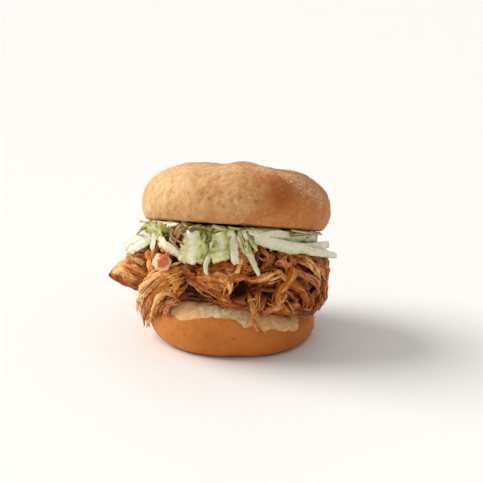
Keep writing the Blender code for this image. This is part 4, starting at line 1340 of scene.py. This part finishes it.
core_ends = [(0, 0, HEEL_MIDDLE + OFF_THE_HEEL), (0, 0, float(chicken_top(np.zeros(3))))]
packed_chicken, core_points, core_move = packed_core("packed_chicken", core_rings, core_ends,
                                                     core_lumps)
core_hollow = hollow_weight(polar(core_points)[0], core_points[:, 2], OPEN_HOLLOWS)
store(packed_chicken.data, "tone", 0.36 + 0.15 * grain(core_points, 7.0, 33))
store(packed_chicken.data, "ridge", np.clip(0.5 + core_move * 0.5, 0.0, 1.0))
# painted shade: the core's dips and its open hollows are darker
store(packed_chicken.data, "deep", np.clip(0.5 - core_move * 0.5, 0.0, 1.0) + core_hollow)
store(packed_chicken.data, "blush", np.zeros(len(core_points)))
print("packed chicken has", len(core_rings), "rings of", CORE_SIDES, "points")

# %% [markdown]
# The meat's finish is a row of colours gone through by one number: nearly black, which is painted
# shade in the gaps, dark barbecue sauce, the orange brown of coated meat, the pale tan where a
# fibre has torn free of the sauce, and a pale cream that is partly a painted highlight. That
# number comes from the shred's own tone, from its ridges, which are rubbed pale while sauce stays
# in the grooves, and from how deep the place lies in the heap, which paints shade there. Some
# shreds blush pink, as dark meat does. A thin clear coat gives the wet shine.

# %% Meat finish
meat = Finish("pulled_chicken_meat", 0.42, 0.14, coat=0.09, coat_roughness=0.08)
mottle = meat.ramp(meat.spots(260.0, 4.0, 0.6), 0.3, 0.7, -0.16, 0.16)
streak = meat.ramp(meat.spots(900.0, 2.0, 0.6), 0.3, 0.7, -0.08, 0.08)
tone_and_shade = meat.sum(meat.stored("tone"), meat.sum(mottle, streak))
tone_and_shade = meat.sum(tone_and_shade, meat.ramp(meat.stored("ridge"), 0.0, 1.0, -0.2, 0.22))
# painted shade: places deep in the heap darken
tone_and_shade = meat.math("SUBTRACT", tone_and_shade, meat.times(meat.stored("deep"), 0.36))
meat.colour(meat.blend(meat.ramp(tone_and_shade, -0.45, -0.1), srgb(26, 8, 5), srgb(100, 44, 12)))
# the last, palest step is partly a painted highlight
SAUCE_AND_HIGHLIGHT_STEPS = [(0.0, 0.26, srgb(138, 66, 18)), (0.26, 0.55, srgb(188, 100, 28)),
               (0.58, 0.95, srgb(236, 178, 98)), (0.85, 1.2, srgb(246, 206, 146))]
for start, end, tone in SAUCE_AND_HIGHLIGHT_STEPS:
    meat.lay(meat.ramp(tone_and_shade, start, end), tone)
meat.lay(meat.times(meat.stored("blush"), meat.ramp(tone_and_shade, 0.3, 0.8)), srgb(226, 160, 122))
meat.roughness(meat.ramp(meat.spots(330.0, 2.0), 0.35, 0.65, 0.3, 0.55))
meat.bump(meat.spots(1500.0, 3.0, 0.6), 0.3, 0.2)
finish_piece(packed_chicken, "pulled_chicken", meat.material)

# %% [markdown]
# ## Shreds
# Cooked chicken comes apart along its muscle fibres. A pulled shred is therefore not a noodle
# but a ragged bundle that holds together in the middle and frays at both ends. The shreds
# listed here are the large ones that give the heap its shape, and the solid has them too. Each
# row holds the half width, the half thickness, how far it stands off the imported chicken, its
# tone, and its route as (angle, height) places.

# %% Shreds that shape the heap
SHAPING_SHREDS = [
    # the bunch that sweeps down to the left and hangs over the heel; its pale tones are partly
    # painted light on the lit left side
    (2.7, 1.7, 3.4, 0.82, [(-22, 53), (-37, 48), (-55, 36), (-73, 24), (-85, 11)]),
    (2.5, 1.6, 2.2, 0.74, [(-25, 49), (-41, 42), (-57, 31), (-72, 19), (-79, 8)]),
    (2.3, 1.5, 2.6, 0.76, [(-30, 44), (-45, 38), (-58, 28), (-69, 12)]),
    (2.2, 1.5, 2.4, 0.74, [(-33, 39), (-47, 33), (-57, 24), (-65, 12)]),
    (2.0, 1.3, 5.2, 0.96, [(-33, 51), (-50, 42), (-70, 30), (-92, 20)]),
    (1.5, 1.0, 6.4, 0.94, [(-52, 36), (-68, 27), (-84, 18), (-90, 11)]),
    # long strands across the middle
    (3.0, 1.8, 1.8, 0.42, [(-28, 49), (-16, 52), (-2, 53), (11, 51)]),
    (2.7, 1.7, 1.6, 0.6, [(-23, 44), (-12, 46), (-3, 46), (5, 48), (14, 46)]),
    (2.4, 1.6, 1.4, 0.46, [(-19, 39), (-10, 40), (-4, 35)]),
    (2.4, 1.6, 2.6, 0.78, [(-13, 48), (-5, 48), (-1.6, 44), (-1.2, 36)]),
    (2.2, 1.5, 1.2, 0.44, [(-16, 33), (-4, 32.5), (12, 30)]),
    # crossing strands on the right
    (2.3, 1.5, 2.2, 0.74, [(9, 43), (17, 46), (28, 49)]),
    (2.0, 1.4, 1.8, 0.46, [(11, 36), (19, 40), (30, 39), (37, 42)]),
    (2.8, 1.7, 2.6, 0.66, [(42, 51), (37, 46), (31, 37), (28, 28)]),
    (2.1, 1.5, 3.0, 0.82, [(48, 57), (54, 49), (61, 39)]),
    (2.3, 1.6, 1.8, 0.50, [(60, 54), (69, 44), (74, 32), (72, 21)]),
    (2.1, 1.4, 1.6, 0.4, [(76, 52), (84, 42), (88, 30), (84, 19)]),
    (2.4, 1.6, 1.8, 0.5, [(30, 45), (42, 39), (50, 30), (53, 22)]),
    (2.3, 1.5, 1.6, 0.46, [(16, 30), (30, 27), (44, 23), (60, 21)]),
    (2.4, 1.5, 1.6, 0.48, [(26, 57), (40, 56), (53, 52), (66, 50)]),
    (1.9, 1.3, 2.4, 0.56, [(29, 34), (35, 28), (38, 23)]),
]
BACK_SHREDS = 22
SHRED_ARC = 176.0


def back_shreds():
    """The seeded shreds of the sides and the back, by the same rule as in the solid."""
    rng = random.Random(41)
    for index in range(BACK_SHREDS):
        angle = BACK_START + SHRED_ARC * (index + rng.uniform(0.1, 0.9)) / BACK_SHREDS
        low = float(around(CHICKEN_SKIRT, angle)) + 2.0
        high = float(chicken_top(place(angle, SLAW_RADIUS, 0.0))) - 2.0
        height = rng.uniform(low, high)
        slant = rng.uniform(-1.2, 1.2)
        length = rng.uniform(16.0, 26.0)
        route = []
        for share in (-0.5, -0.15, 0.2, 0.5):
            turn = angle + math.degrees(length * share * math.cos(slant) / 48.0)
            level = height + length * share * math.sin(slant) + rng.uniform(-1.0, 1.0)
            route.append((turn, min(max(level, low), high)))
        wide, thick, proud = rng.uniform(1.7, 2.8), rng.uniform(1.2, 1.7), rng.uniform(1.0, 2.4)
        yield wide, thick, proud, rng.uniform(0.35, 0.65), route


print("large shreds in front:", len(SHAPING_SHREDS), "and round the back:", BACK_SHREDS)

# %% [markdown]
# A bundle is a wide, ridged body with thinner strands on alternate sides of it, each with its
# own start, end and girth, so that both ends fray. Hair curves would be lighter, but a mesh
# goes through any export unchanged.

# %% Strands
FEWEST_ROWS = 5
BODY_SIDES = 10
STRAND_SIDES = 6
STRAND_RIDGE = 0.15


def fray(share):
    """How far strands spread from a shred's own line: little in its middle, more at its ends."""
    return 0.7 + 0.8 * np.abs(2.0 * share - 1.0) ** 2.5


def shifted(route, directions, sideways, outwards):
    """A route moved across itself and outwards, point by point."""
    across, outward = directions
    return route + across * sideways[:, None] + outward * outwards[:, None]


def lay_strands(batch, route, directions, wide, thick, tone, rng, count, **values):
    """A ragged body, and thinner strands that leave it at both ends."""
    across, outward = directions
    share = np.linspace(0.0, 1.0, len(route))
    swell = np.sin(np.clip(share, 0.03, 0.97) * math.pi) ** 0.35
    for number in range(count):
        body = number == 0
        side = rng.normal(0.0, 0.12) if body else rng.uniform(0.4, 0.95) * (-1) ** number
        lateral = side * wide * fray(share) + wander(rng, share, 0.4)
        rise = thick * (0.6 * math.sqrt(max(1.0 - side * side, 0.0)) - 0.3)
        rise = (rise + wander(rng, share, 0.35, 3.0)) * swell
        middle = shifted(route, directions, lateral, rise)
        cut = 0.1 if body else 0.3
        begin = int(rng.uniform(0.0, cut) * len(route))
        end = len(route) - int(rng.uniform(0.0, cut) * len(route))
        if end - begin < FEWEST_ROWS:
            continue
        part = slice(begin, end)
        reach = np.linspace(0.0, 1.0, end - begin)
        taper = np.clip(np.minimum(reach / 0.16, (1.0 - reach) / 0.22), 0.1, 1.0) ** 0.6
        girth = wide * (rng.uniform(0.5, 0.7) if body else rng.uniform(0.2, 0.38)) * taper
        girth = girth * (1.0 + wander(rng, reach, 0.14, 5.0))
        depth = np.minimum(girth * rng.uniform(0.7, 1.0), thick)
        tube(batch, middle[part], across[part], outward[part], girth, depth,
             BODY_SIDES if body else STRAND_SIDES, STRAND_RIDGE, rng,
             tone=tone + rng.normal(0, 0.08), **values)


print("a shred's strands spread by", fray(0.5), "in its middle and", fray(0.0), "at its ends")

# %% [markdown]
# With each bundle run two loose fibres, as thin as hair, that stand off its face. They go to a
# batch of their own, and `shred` lays the strands and the fibres of one bundle together.

# %% Fibres and whole shreds
FIBRE_SIDES = 4
FIBRE_RIDGE = 0.1


def lay_fibres(batch, route, directions, wide, thick, tone, rng, **values):
    """Two loose fibres that stand off the body's face."""
    across, outward = directions
    share = np.linspace(0.0, 1.0, len(route))
    for number in range(2):
        side = rng.uniform(-1.25, 1.25)
        lateral = side * wide * fray(share) + wander(rng, share, 0.7)
        rise = thick * 0.7 + np.abs(wander(rng, share, 0.6)) + 0.15
        middle = shifted(route, directions, lateral, rise)
        begin = int(rng.uniform(0.0, 0.6) * len(route))
        end = min(begin + int(rng.uniform(0.3, 0.7) * len(route)), len(route))
        if end - begin < FEWEST_ROWS:
            continue
        part = slice(begin, end)
        reach = np.linspace(0.0, 1.0, end - begin)
        girth = rng.uniform(0.18, 0.34) * np.clip(np.minimum(reach, 1.0 - reach) * 6.0, 0.25, 1.0)
        tube(batch, middle[part], across[part], outward[part], girth, girth, FIBRE_SIDES,
             FIBRE_RIDGE, rng, tone=tone + rng.uniform(0.0, 0.2), **values)


strands, fibres = Batch(), Batch()


def shred(batch, route, wide, thick, tone, rng, count, blush=0.0, away=None, **values):
    """A frayed shred: its strands go to one batch, its fibres to the batch of all fibres."""
    directions = frames(route, away)[1:]
    lay_strands(batch, route, directions, wide, thick, tone, rng, count, blush=blush, **values)
    lay_fibres(fibres, route, directions, wide, thick, tone, rng, blush=blush)


print("points of meat laid so far:", strands.count + fibres.count)

# %% [markdown]
# A shaping shred lies on the heap, at its own distance; where it leaves the heap it hangs clear
# of the heel. Its first end is tucked in, so that no shred seems to start in the air.

# %% Lay the shaping shreds
SHRED_SPACING = 0.95
STRANDS_IN_LARGE = 5


def shaping_route(proud, route):
    """The points of a large shred; its first end is tucked into the heap."""
    points = []
    for number, (angle, height) in enumerate(route):
        clear = HEEL_RADIUS - 2.0 + 0.5 * number
        out = max(float(chicken_side(angle, height)), clear) + proud
        points.append(place(angle, out, height))
    points[0] = place(route[0][0], float(chicken_side(*route[0])) - 1.0, route[0][1])
    return even_route(points, SHRED_SPACING)


chance = np.random.default_rng(7)
for wide, thick, proud, tone, route in SHAPING_SHREDS + list(back_shreds()):
    shred(strands, shaping_route(proud, route), wide, thick, tone, chance, STRANDS_IN_LARGE)
print("shaping strands:", len(strands.points), "fibres:", len(fibres.points))

# %% [markdown]
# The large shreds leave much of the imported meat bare. Smaller clumps fill in between them, each
# with its own slant, because a forkful of pulled meat keeps its direction. Where the heap is
# low there are fewer, and none in the open hollows: those must stay dark, or the heap looks
# like a solid wall.

# %% Places for clumps
TALLEST_SIDE = 31.0
HEAP_RADIUS = 48.0
CLUMP_LENGTHS = (7.0, 16.0)
KEEP_OPEN = 0.6


def clump_places(rng):
    """Random places for a clump, or None where the heap is low or a hollow stays open."""
    angle = rng.uniform(-HALF_TURN, HALF_TURN)
    low = float(around(CHICKEN_SKIRT, angle))
    high = float(chicken_top(place(angle, SLAW_RADIUS, 0.0)))
    if rng.uniform(0.0, TALLEST_SIDE) > high - low:
        return None
    height = rng.uniform(low, high)
    slant = rng.uniform(-1.5, 1.5)
    length = rng.uniform(*CLUMP_LENGTHS)
    bend = rng.normal(0.0, 2.2)
    proud = rng.uniform(0.2, 1.9)
    spots = []
    for share in ROUTE_SHARES:
        bow = bend * (0.25 - share ** 2)
        sideways = length * share * math.cos(slant) - bow * math.sin(slant)
        level = height + length * share * math.sin(slant) + bow * 4.0
        spots.append((angle + math.degrees(sideways / HEAP_RADIUS),
                      min(max(level, low + 0.4), high)))
    if hollow_weight(*np.transpose(spots), OPEN_HOLLOWS).max() > KEEP_OPEN:
        return None
    return angle, height, proud, spots


print("hollows that stay open:", len(OPEN_HOLLOWS))

# %% [markdown]
# Each clump is laid like a large shred, but with fewer strands. Its first end lies low and its
# last one somewhere between the heap and the air. In the hollows, and a little on the right, the
# meat is painted darker as shade; on the right it is also pinker.

# %% Fill with clumps
CLUMPS = 255
CLUMP_SPACING = 1.2
clumps_laid = 0
while clumps_laid < CLUMPS:
    found = clump_places(chance)
    if found is None:
        continue
    angle, height, proud, spots = found
    lifts = (0.1, 1.0, 1.0, chance.uniform(0.0, 1.3))
    points = [place(spot[0], float(chicken_side(*spot)) + proud * lift, spot[1])
              for spot, lift in zip(spots, lifts)]
    right = max(math.sin(math.radians(angle)), 0.0)
    # painted shade: darker on the shaded right and, below, in the hollows
    tone = 0.5 + chance.normal(0, 0.14) - 0.08 * right
    tone -= 0.3 * float(hollow_weight(angle, height, HOLLOWS))
    shred(strands, even_route(points, CLUMP_SPACING), chance.uniform(1.5, 3.2),
          chance.uniform(1.0, 1.6), tone, chance, int(chance.integers(2, 5)),
          blush=chance.uniform(0.0, 0.2 + 0.35 * right))
    clumps_laid += 1
print("strands with the clumps:", len(strands.points))

# %% [markdown]
# The last shreds lie on top of the others and close what they leave open. They are listed like
# the large ones, with one number more before the route: how much they blush. They have a
# generator of their own, so that a change to them leaves all that is above as it is.

# %% Loose shreds
LOOSE_SHREDS = [
    (1.1, 0.8, 2.8, 0.84, 0.8, [(53, 53), (61, 44.5), (70, 36)]),
    (1.0, 0.7, 2.4, 0.72, 0.7, [(70, 37), (80, 29), (86, 19)]),
    (1.0, 0.7, 3.0, 0.82, 0.4, [(20, 44.5), (25.5, 46), (31, 47)]),
    (0.9, 0.7, 2.2, 0.68, 0.4, [(16, 41), (23, 43), (31, 44)]),
    (1.1, 0.8, 2.6, 0.68, 0.6, [(39, 48.5), (47, 44.5), (56, 39)]),
    (0.9, 0.7, 2.6, 0.80, 0.9, [(35, 33), (38.5, 28.5), (42.5, 23)]),
    (0.9, 0.7, 2.2, 0.78, 0.3, [(46, 24), (53, 23.5), (60, 22.2)]),
    (0.9, 0.6, 2.6, 0.70, 0.3, [(9.5, 31.5), (11.8, 34), (16, 36.2)]),
    (0.9, 0.7, 2.4, 0.74, 0.6, [(27, 30), (31, 32.5), (35, 36)]),
    (1.9, 1.3, 1.8, 0.60, 0.5, [(30, 58), (33, 54), (34, 48)]),
    # on the left: a knot painted bright as a highlight over the bunch, and saucy shreds over the
    # heel's edge whose pale tones are partly painted light
    (1.2, 0.8, 3.2, 0.92, 0.2, [(-55, 45), (-48, 48), (-40, 51)]),
    (1.3, 0.9, 3.6, 0.86, 0.1, [(-60, 35), (-54, 42), (-46, 45)]),
    (1.2, 0.9, 3.0, 0.80, 0.1, [(-38, 40), (-46, 43), (-54, 38)]),
    (1.7, 1.0, 1.6, 0.78, 0.1, [(-36, 33), (-45, 28), (-54, 21)]),
    (1.5, 1.0, 1.4, 0.78, 0.1, [(-44, 34), (-52, 27), (-59, 17)]),
    (1.3, 0.9, 1.6, 0.78, 0.3, [(-33, 34), (-41, 31), (-48, 27)]),
    (1.2, 0.9, 2.4, 1.02, 0.9, [(-50, 28), (-55, 24), (-58, 19)]),
    (1.5, 1.0, 1.6, 0.84, 0.5, [(-36, 31), (-44, 27.5), (-50, 20)]),
    (1.2, 0.8, 2.0, 0.94, 0.7, [(-38, 34), (-43, 28), (-46, 21)]),
    (0.9, 0.6, 3.2, 0.76, 0.2, [(-70, 24), (-78, 14), (-85, 5)]),
    (1.9, 1.2, 2.0, 0.64, 0.1, [(-62, 25), (-72, 17), (-78, 8)]),
    (1.7, 1.1, 2.4, 0.74, 0.2, [(-66, 28), (-76, 20), (-84, 11)]),
    (1.6, 1.0, 1.8, 0.82, 0.4, [(-58, 24), (-66, 16), (-71, 8)]),
    (1.4, 1.0, 2.8, 0.84, 0.3, [(-72, 30), (-82, 23), (-91, 15)]),
    (1.2, 0.8, 3.2, 0.90, 0.3, [(-78, 24), (-88, 17), (-97, 12)]),
    (1.0, 0.7, 2.6, 0.70, 0.1, [(-62, 24), (-70, 13), (-75, 6)]),
    (0.7, 0.5, 4.6, 0.95, 0.2, [(-72, 28), (-80, 19), (-86, 10)]),
    (0.6, 0.5, 4.0, 0.90, 0.2, [(-69, 24), (-77, 15), (-81, 6)]),
    # meat caught in the coleslaw
    (2.2, 1.3, 1.6, 0.48, 0.0, [(-42, 71), (-37, 68), (-32, 64)]),
    (1.8, 1.1, 2.0, 0.56, 0.0, [(-30, 72), (-34, 67), (-37, 62)]),
    # slanting strands that close the middle, left of the open hollow
    (2.0, 1.3, 1.4, 0.56, 0.2, [(-28, 46.5), (-22, 44.5), (-16.8, 41.9), (-9.1, 36.9)]),
    (1.8, 1.2, 1.9, 0.66, 0.1, [(-21, 48), (-12, 44.4), (-4.3, 39.6)]),
    (1.8, 1.2, 1.4, 0.54, 0.3, [(-18, 40.5), (-8.2, 36.9), (1.3, 33.8)]),
    (1.6, 1.0, 1.2, 0.50, 0.2, [(-31, 45), (-21, 42), (-15, 37.5)]),
    (1.4, 1.0, 2.2, 0.62, 0.1, [(-14, 46), (-6, 44.5), (1.5, 41.2)]),
    (1.5, 1.0, 1.8, 0.62, 0.3, [(-26, 43), (-32, 38), (-37, 33.5)]),
    (1.2, 0.8, 2.0, 0.74, 0.2, [(-29, 46), (-35, 41), (-40, 35)]),
    # dark, saucy strands inside the hollow below them; their dark tone is partly painted shade
    (1.5, 1.0, 0.6, 0.24, 0.0, [(-32, 38), (-25, 36.5), (-17, 34)]),
    (1.2, 0.8, 0.8, 0.32, 0.0, [(-30, 35.5), (-24, 33.8), (-18, 32.8)]),
    (1.4, 0.9, 0.6, 0.18, 0.0, [(-29, 40), (-23, 38.5), (-16, 36)]),
    # thin strands that cross the right side
    (1.1, 0.8, 2.2, 0.62, 0.4, [(42.5, 50), (48, 44.6), (54.7, 38.7)]),
    (1.6, 1.1, 2.0, 0.58, 0.1, [(57, 41), (61, 33.6), (64, 27)]),
    (1.0, 0.7, 2.0, 0.54, 0.5, [(42, 46), (50, 41.2), (58, 35.4)]),
    (0.9, 0.6, 1.8, 0.50, 0.3, [(32, 40), (37, 35.5), (42, 31.6)]),
    (1.0, 0.7, 2.6, 0.66, 0.6, [(52, 44), (58, 38.4), (67, 31.3)]),
    (1.1, 0.8, 2.0, 0.60, 0.5, [(43, 52), (53, 47.3), (62, 41)]),
    (1.0, 0.7, 2.4, 0.66, 0.7, [(70, 39), (78, 31), (82, 22)]),
    (1.0, 0.7, 2.2, 0.56, 0.2, [(38, 49), (45, 43.7), (49, 38)]),
    (0.9, 0.6, 2.0, 0.58, 0.4, [(54, 33), (59, 28), (59, 23.5)]),
    (1.5, 1.0, 1.0, 0.50, 0.2, [(61, 36), (67, 31.5), (73, 26)]),
    (1.3, 0.9, 1.2, 0.42, 0.1, [(72, 35), (68, 30.5), (65, 26)]),
    # on the right, in the shade under the long strips
    (1.5, 1.0, 2.0, 0.60, 0.5, [(17, 63), (22, 59), (26, 53)]),
    (1.3, 0.9, 2.2, 0.52, 0.6, [(30, 60), (25, 56), (20, 51)]),
    (1.0, 0.7, 2.4, 0.60, 0.8, [(14, 58), (20, 55.5), (27, 56)]),
    (1.2, 0.8, 2.2, 0.66, 0.7, [(38, 58), (34, 55), (27, 52.5)]),
]
loose_chance = np.random.default_rng(5)
for wide, thick, proud, tone, blush, route in LOOSE_SHREDS:
    shred(strands, shaping_route(proud, route), wide, thick, tone, loose_chance, 2, blush=blush)
print("strands:", len(strands.points), "fibres:", len(fibres.points))

# %% [markdown]
# ## Chunk
# One piece of breast was not pulled apart: it sticks out on the left as a pointed chunk. It is
# a tapered tube round an axis, wider than deep. Its fibres run slantwise round it, so its
# ridges are twisted along the axis, and soft lumps bend them. Its upper face is painted paler as
# light and its underside darker as shade, and its tip is charred.

# %% Chunk form
CHUNK_ROOT = np.array([-32.0, -20.0, 43.0])
CHUNK_TIP = np.array([-67.0, -9.0, 36.0])
CHUNK_HALF_HEIGHT = 11.5
CHUNK_HALF_DEPTH = 6.5
CHUNK_GIRTH = [(0.0, 0.75), (0.2, 0.95), (0.42, 1.0), (0.62, 0.84), (0.8, 0.56), (0.93, 0.26),
               (1.0, 0.06)]
CHUNK_ROWS = 64
CHUNK_SIDES = 72
chunk_axis = CHUNK_TIP - CHUNK_ROOT
chunk_across = unit(np.cross(unit(chunk_axis), (0.0, 0.0, 1.0)))
chunk_up = unit(np.cross(chunk_across, unit(chunk_axis)))


def chunk_spot(share, turn):
    """A point on the chunk's surface, and the direction away from its axis."""
    size = np.interp(share, *zip(*CHUNK_GIRTH))
    away = (np.multiply.outer(np.cos(turn), chunk_across) * CHUNK_HALF_DEPTH
            + np.multiply.outer(np.sin(turn), chunk_up) * CHUNK_HALF_HEIGHT)
    centre = CHUNK_ROOT + np.multiply.outer(share, chunk_axis)
    return centre + away * np.asarray(size)[..., None], unit(away)


half_way = chunk_spot(0.5, 0.0)[0].round(1)
print("chunk is", round(float(np.linalg.norm(chunk_axis)), 1), "mm long; half way it is at", half_way)

# %% [markdown]
# The ridges are waves round the chunk, turned further the nearer they are to its tip. Two
# painted highlights brighten it: one near the tip, and a streak low on the face.

# %% Chunk ridges and tones
# waves round the chunk, and their height
CHUNK_RIDGES = [(7, 0.3), (15, 0.24), (29, 0.22)]
TWIST = 1.5
chunk_chance = np.random.default_rng(3)
share, turn = np.meshgrid(np.linspace(0.0, 1.0, CHUNK_ROWS),
                          np.linspace(0.0, math.tau, CHUNK_SIDES, endpoint=False), indexing="ij")
surface, away = chunk_spot(share, turn)
ridges = 0.8 * grid_grain(surface, 6.0, 41) + 0.25 * grid_grain(surface, 1.6, 42)
for waves, height in CHUNK_RIDGES:
    phase = chunk_chance.uniform(0, math.tau) + 2.0 * np.sin(share * 5.0 + waves)
    ridges += height * np.sin((turn + TWIST * share) * waves + phase)
ridges *= np.clip((1.0 - share) * 6.0, 0.15, 1.0)
underside = np.clip(-np.sin(turn) * 0.8 - 0.1, 0.0, 1.0)
charred = np.clip((share - 0.9) / 0.08, 0.0, 1.0)
upper = np.clip(np.sin(turn), 0.0, 1.0)
painted_highlight = np.exp(-((share - 0.8) / 0.18) ** 2 - ((turn - 2.6) / 0.6) ** 2)
painted_highlight += 0.5 * np.exp(-((share - 0.5) / 0.2) ** 2 - ((turn - 3.5) / 0.16) ** 2)
chunk = Batch()
# painted light and shade: paler upper face, painted highlights, darker underside; the tip is charred
chunk.sweep(surface + away * ridges[..., None],
            tone=0.48 + 0.08 * upper + 0.5 * painted_highlight - 0.2 * underside - 0.4 * charred,
            ridge=np.clip(0.5 + ridges * 0.55, 0, 1),
            deep=0.5 * underside + 0.8 * charred,
            blush=np.clip(0.7 * upper * (share - 0.3), 0.0, 0.5))
print("chunk ridges from", round(float(ridges.min()), 2), "to", round(float(ridges.max()), 2), "mm")

# %% [markdown]
# A few strands have come loose on the chunk's face and follow its twist. At the front a saucy
# string hangs from the heap across the cut face of the heel; it is a thin bundle too.

# %% Strands on the chunk, and the drip
CHUNK_STRANDS = 10
# angle, height and radius
DRIP = [(9.0, 41.0, 42.0), (12.5, 31.0, 51.0), (14.5, 22.0, 49.6), (20.0, 15.0, 49.4),
        (22.5, 11.0, 49.0)]
for number in range(CHUNK_STRANDS):
    start = chunk_chance.uniform(0.2, 0.66)
    end = start + chunk_chance.uniform(0.18, 0.32)
    turn = chunk_chance.uniform(1.5, 3.5)
    spots, aways = [], []
    for part in np.linspace(0.0, 1.0, 4):
        spot, away = chunk_spot(min(start + (end - start) * part, 0.97), turn - 0.55 * part)
        spots.append(spot + away * (0.5 + 0.7 * math.sin(part * math.pi)))
        aways.append(away)
    route = even_route(spots, SHRED_SPACING)
    shred(chunk, route, chunk_chance.uniform(0.9, 1.8), 0.9, chunk_chance.uniform(0.8, 1.1),
          chunk_chance, 3, blush=chunk_chance.uniform(0.1, 0.5),
          away=unit(smooth_route(aways, len(route) - 1)), deep=0.1)
drip_route = even_route([place(angle, radius, height) for angle, height, radius in DRIP], 0.8)
shred(strands, drip_route, 1.7, 0.9, 0.66, np.random.default_rng(4), 3)
print("pieces in the chunk:", len(chunk.points), "and all strands:", len(strands.points))

# %% [markdown]
# ## Crumple, sauce and press
# Last, all shreds are made less straight: a slow random push, the same for neighbours, crumples
# them together. A slow random change of tone lays sauce over them in patches, and what lies
# deep in the heap or in a dark hollow is painted darker as shade. Where a shred would poke through
# a hanging leaf of cabbage, it is pressed back under the roof that the leaves have noted.

# %% Crumple the shreds and make their meshes
CRUMPLE = 0.55
CRUMPLE_WAVE = 4.0
CRUMPLE_SEED = 71
PATCH_TONE = 0.16
PATCH_WAVE = 3.4
UNDER_LEAF = 0.9
DEEP_OVER = 4.5


def crumple(points):
    """Push points a little, each much like its neighbours."""
    push = [grain(points, CRUMPLE_WAVE, CRUMPLE_SEED + axis) for axis in range(3)]
    return points + CRUMPLE * np.stack(push, -1)


def lies_deep(points):
    """How deep each point lies in the heap, from 0 to 1, and up to 2 in a dark hollow."""
    angle, radius = polar(points)
    deep = np.clip((around(CHICKEN_RADIUS, angle) + 1.6 - radius) / DEEP_OVER, 0.0, 1.0)
    return deep * (1.0 + hollow_weight(angle, points[:, 2], SHADED_HOLLOWS))


def press_under(points):
    """Press points that would stand in front of a hanging leaf back under it."""
    turn, row, radius = roof_cell(points)
    limit = np.minimum(radius, roof[turn, row] - UNDER_LEAF)
    return points * np.stack([limit / radius, limit / radius, np.ones(len(points))], -1)


for batch, name in ((strands, "chicken_shreds"), (fibres, "chicken_fibres"),
                    (chunk, "chicken_chunk")):
    every = np.vstack(batch.points)
    if batch is not chunk:
        every = crumple(every)
        # painted shade: what lies deep or in a shaded hollow is darker
        batch.values["deep"] = [lies_deep(every)]
    patches = PATCH_TONE * grain(every, PATCH_WAVE, 75)
    batch.values["tone"] = [np.concatenate(batch.values["tone"]) + patches]
    batch.points = [press_under(every)]
    finish_piece(batch.build(name), "pulled_chicken", meat.material)

# %% [markdown]
# ## Tomato dice
# One soft dice of tomato has slid down the front and is coated with pink dressing. Its solid is
# a cube with soft corners; the fine copy is smoothed until it looks cooked, and dented. The
# dressing is a value on its points: it leaves one red patch bare, a little right of the middle,
# and is thick enough to round the dice off. Its right side is browner.

# %% Dice shape
DICE_HALF = 4.0
dice = fine_copy("tomato_dice", "tomato_dice_skin", 0.3, 60)
dice_points = points_of(dice.data)
dice_normals = normals_of(dice.data)
dents = relief(dice_points, [(2.6, 0.3), (1.0, 0.1)], 61)
dice_points = dice_points + dice_normals * dents[:, None]
dice_own = (dice_points - dice_points.mean(axis=0)) / DICE_HALF
beside = dice_own[:, 0] + 0.25 * grain(dice_points, 2.2, 63)
bare = 1.15 - np.hypot((beside - 0.25) / 0.62, (dice_own[:, 2] - 0.35) / 0.75)
dressing = np.clip(0.5 - bare / 0.3, 0.0, 1.0)
put_points(dice.data, dice_points + dice_normals * (0.35 * dressing)[:, None])
store(dice.data, "dressing", dressing)
store(dice.data, "brown_right", np.clip((beside - 0.45) / 0.3, 0.0, 0.8))
print("dressing covers", round(100.0 * float(dressing.mean())), "% of the dice")

# %% [markdown]
# Tomato flesh is wet and slightly clear, so a coat gives it a sharp gloss, and soft noise mixes
# two reds for its pulp. A brown layer on its right side and pale dressing are layers over it.

# %% Dice finish
tomato = Finish("tomato_flesh", 0.32, 0.3, coat=0.2, coat_roughness=0.12)
pulp = tomato.ramp(tomato.spots(500.0, 3.0, 0.6), 0.3, 0.7)
tomato.colour(tomato.blend(pulp, srgb(210, 84, 42), srgb(232, 126, 78)))
tomato.lay(tomato.stored("brown_right"), srgb(196, 128, 84))
tomato.lay(tomato.stored("dressing"), srgb(242, 192, 152))
tomato.bump(tomato.spots(900.0, 3.0), 0.3, 0.2)
finish_piece(dice, "tomato_dice", tomato.material)
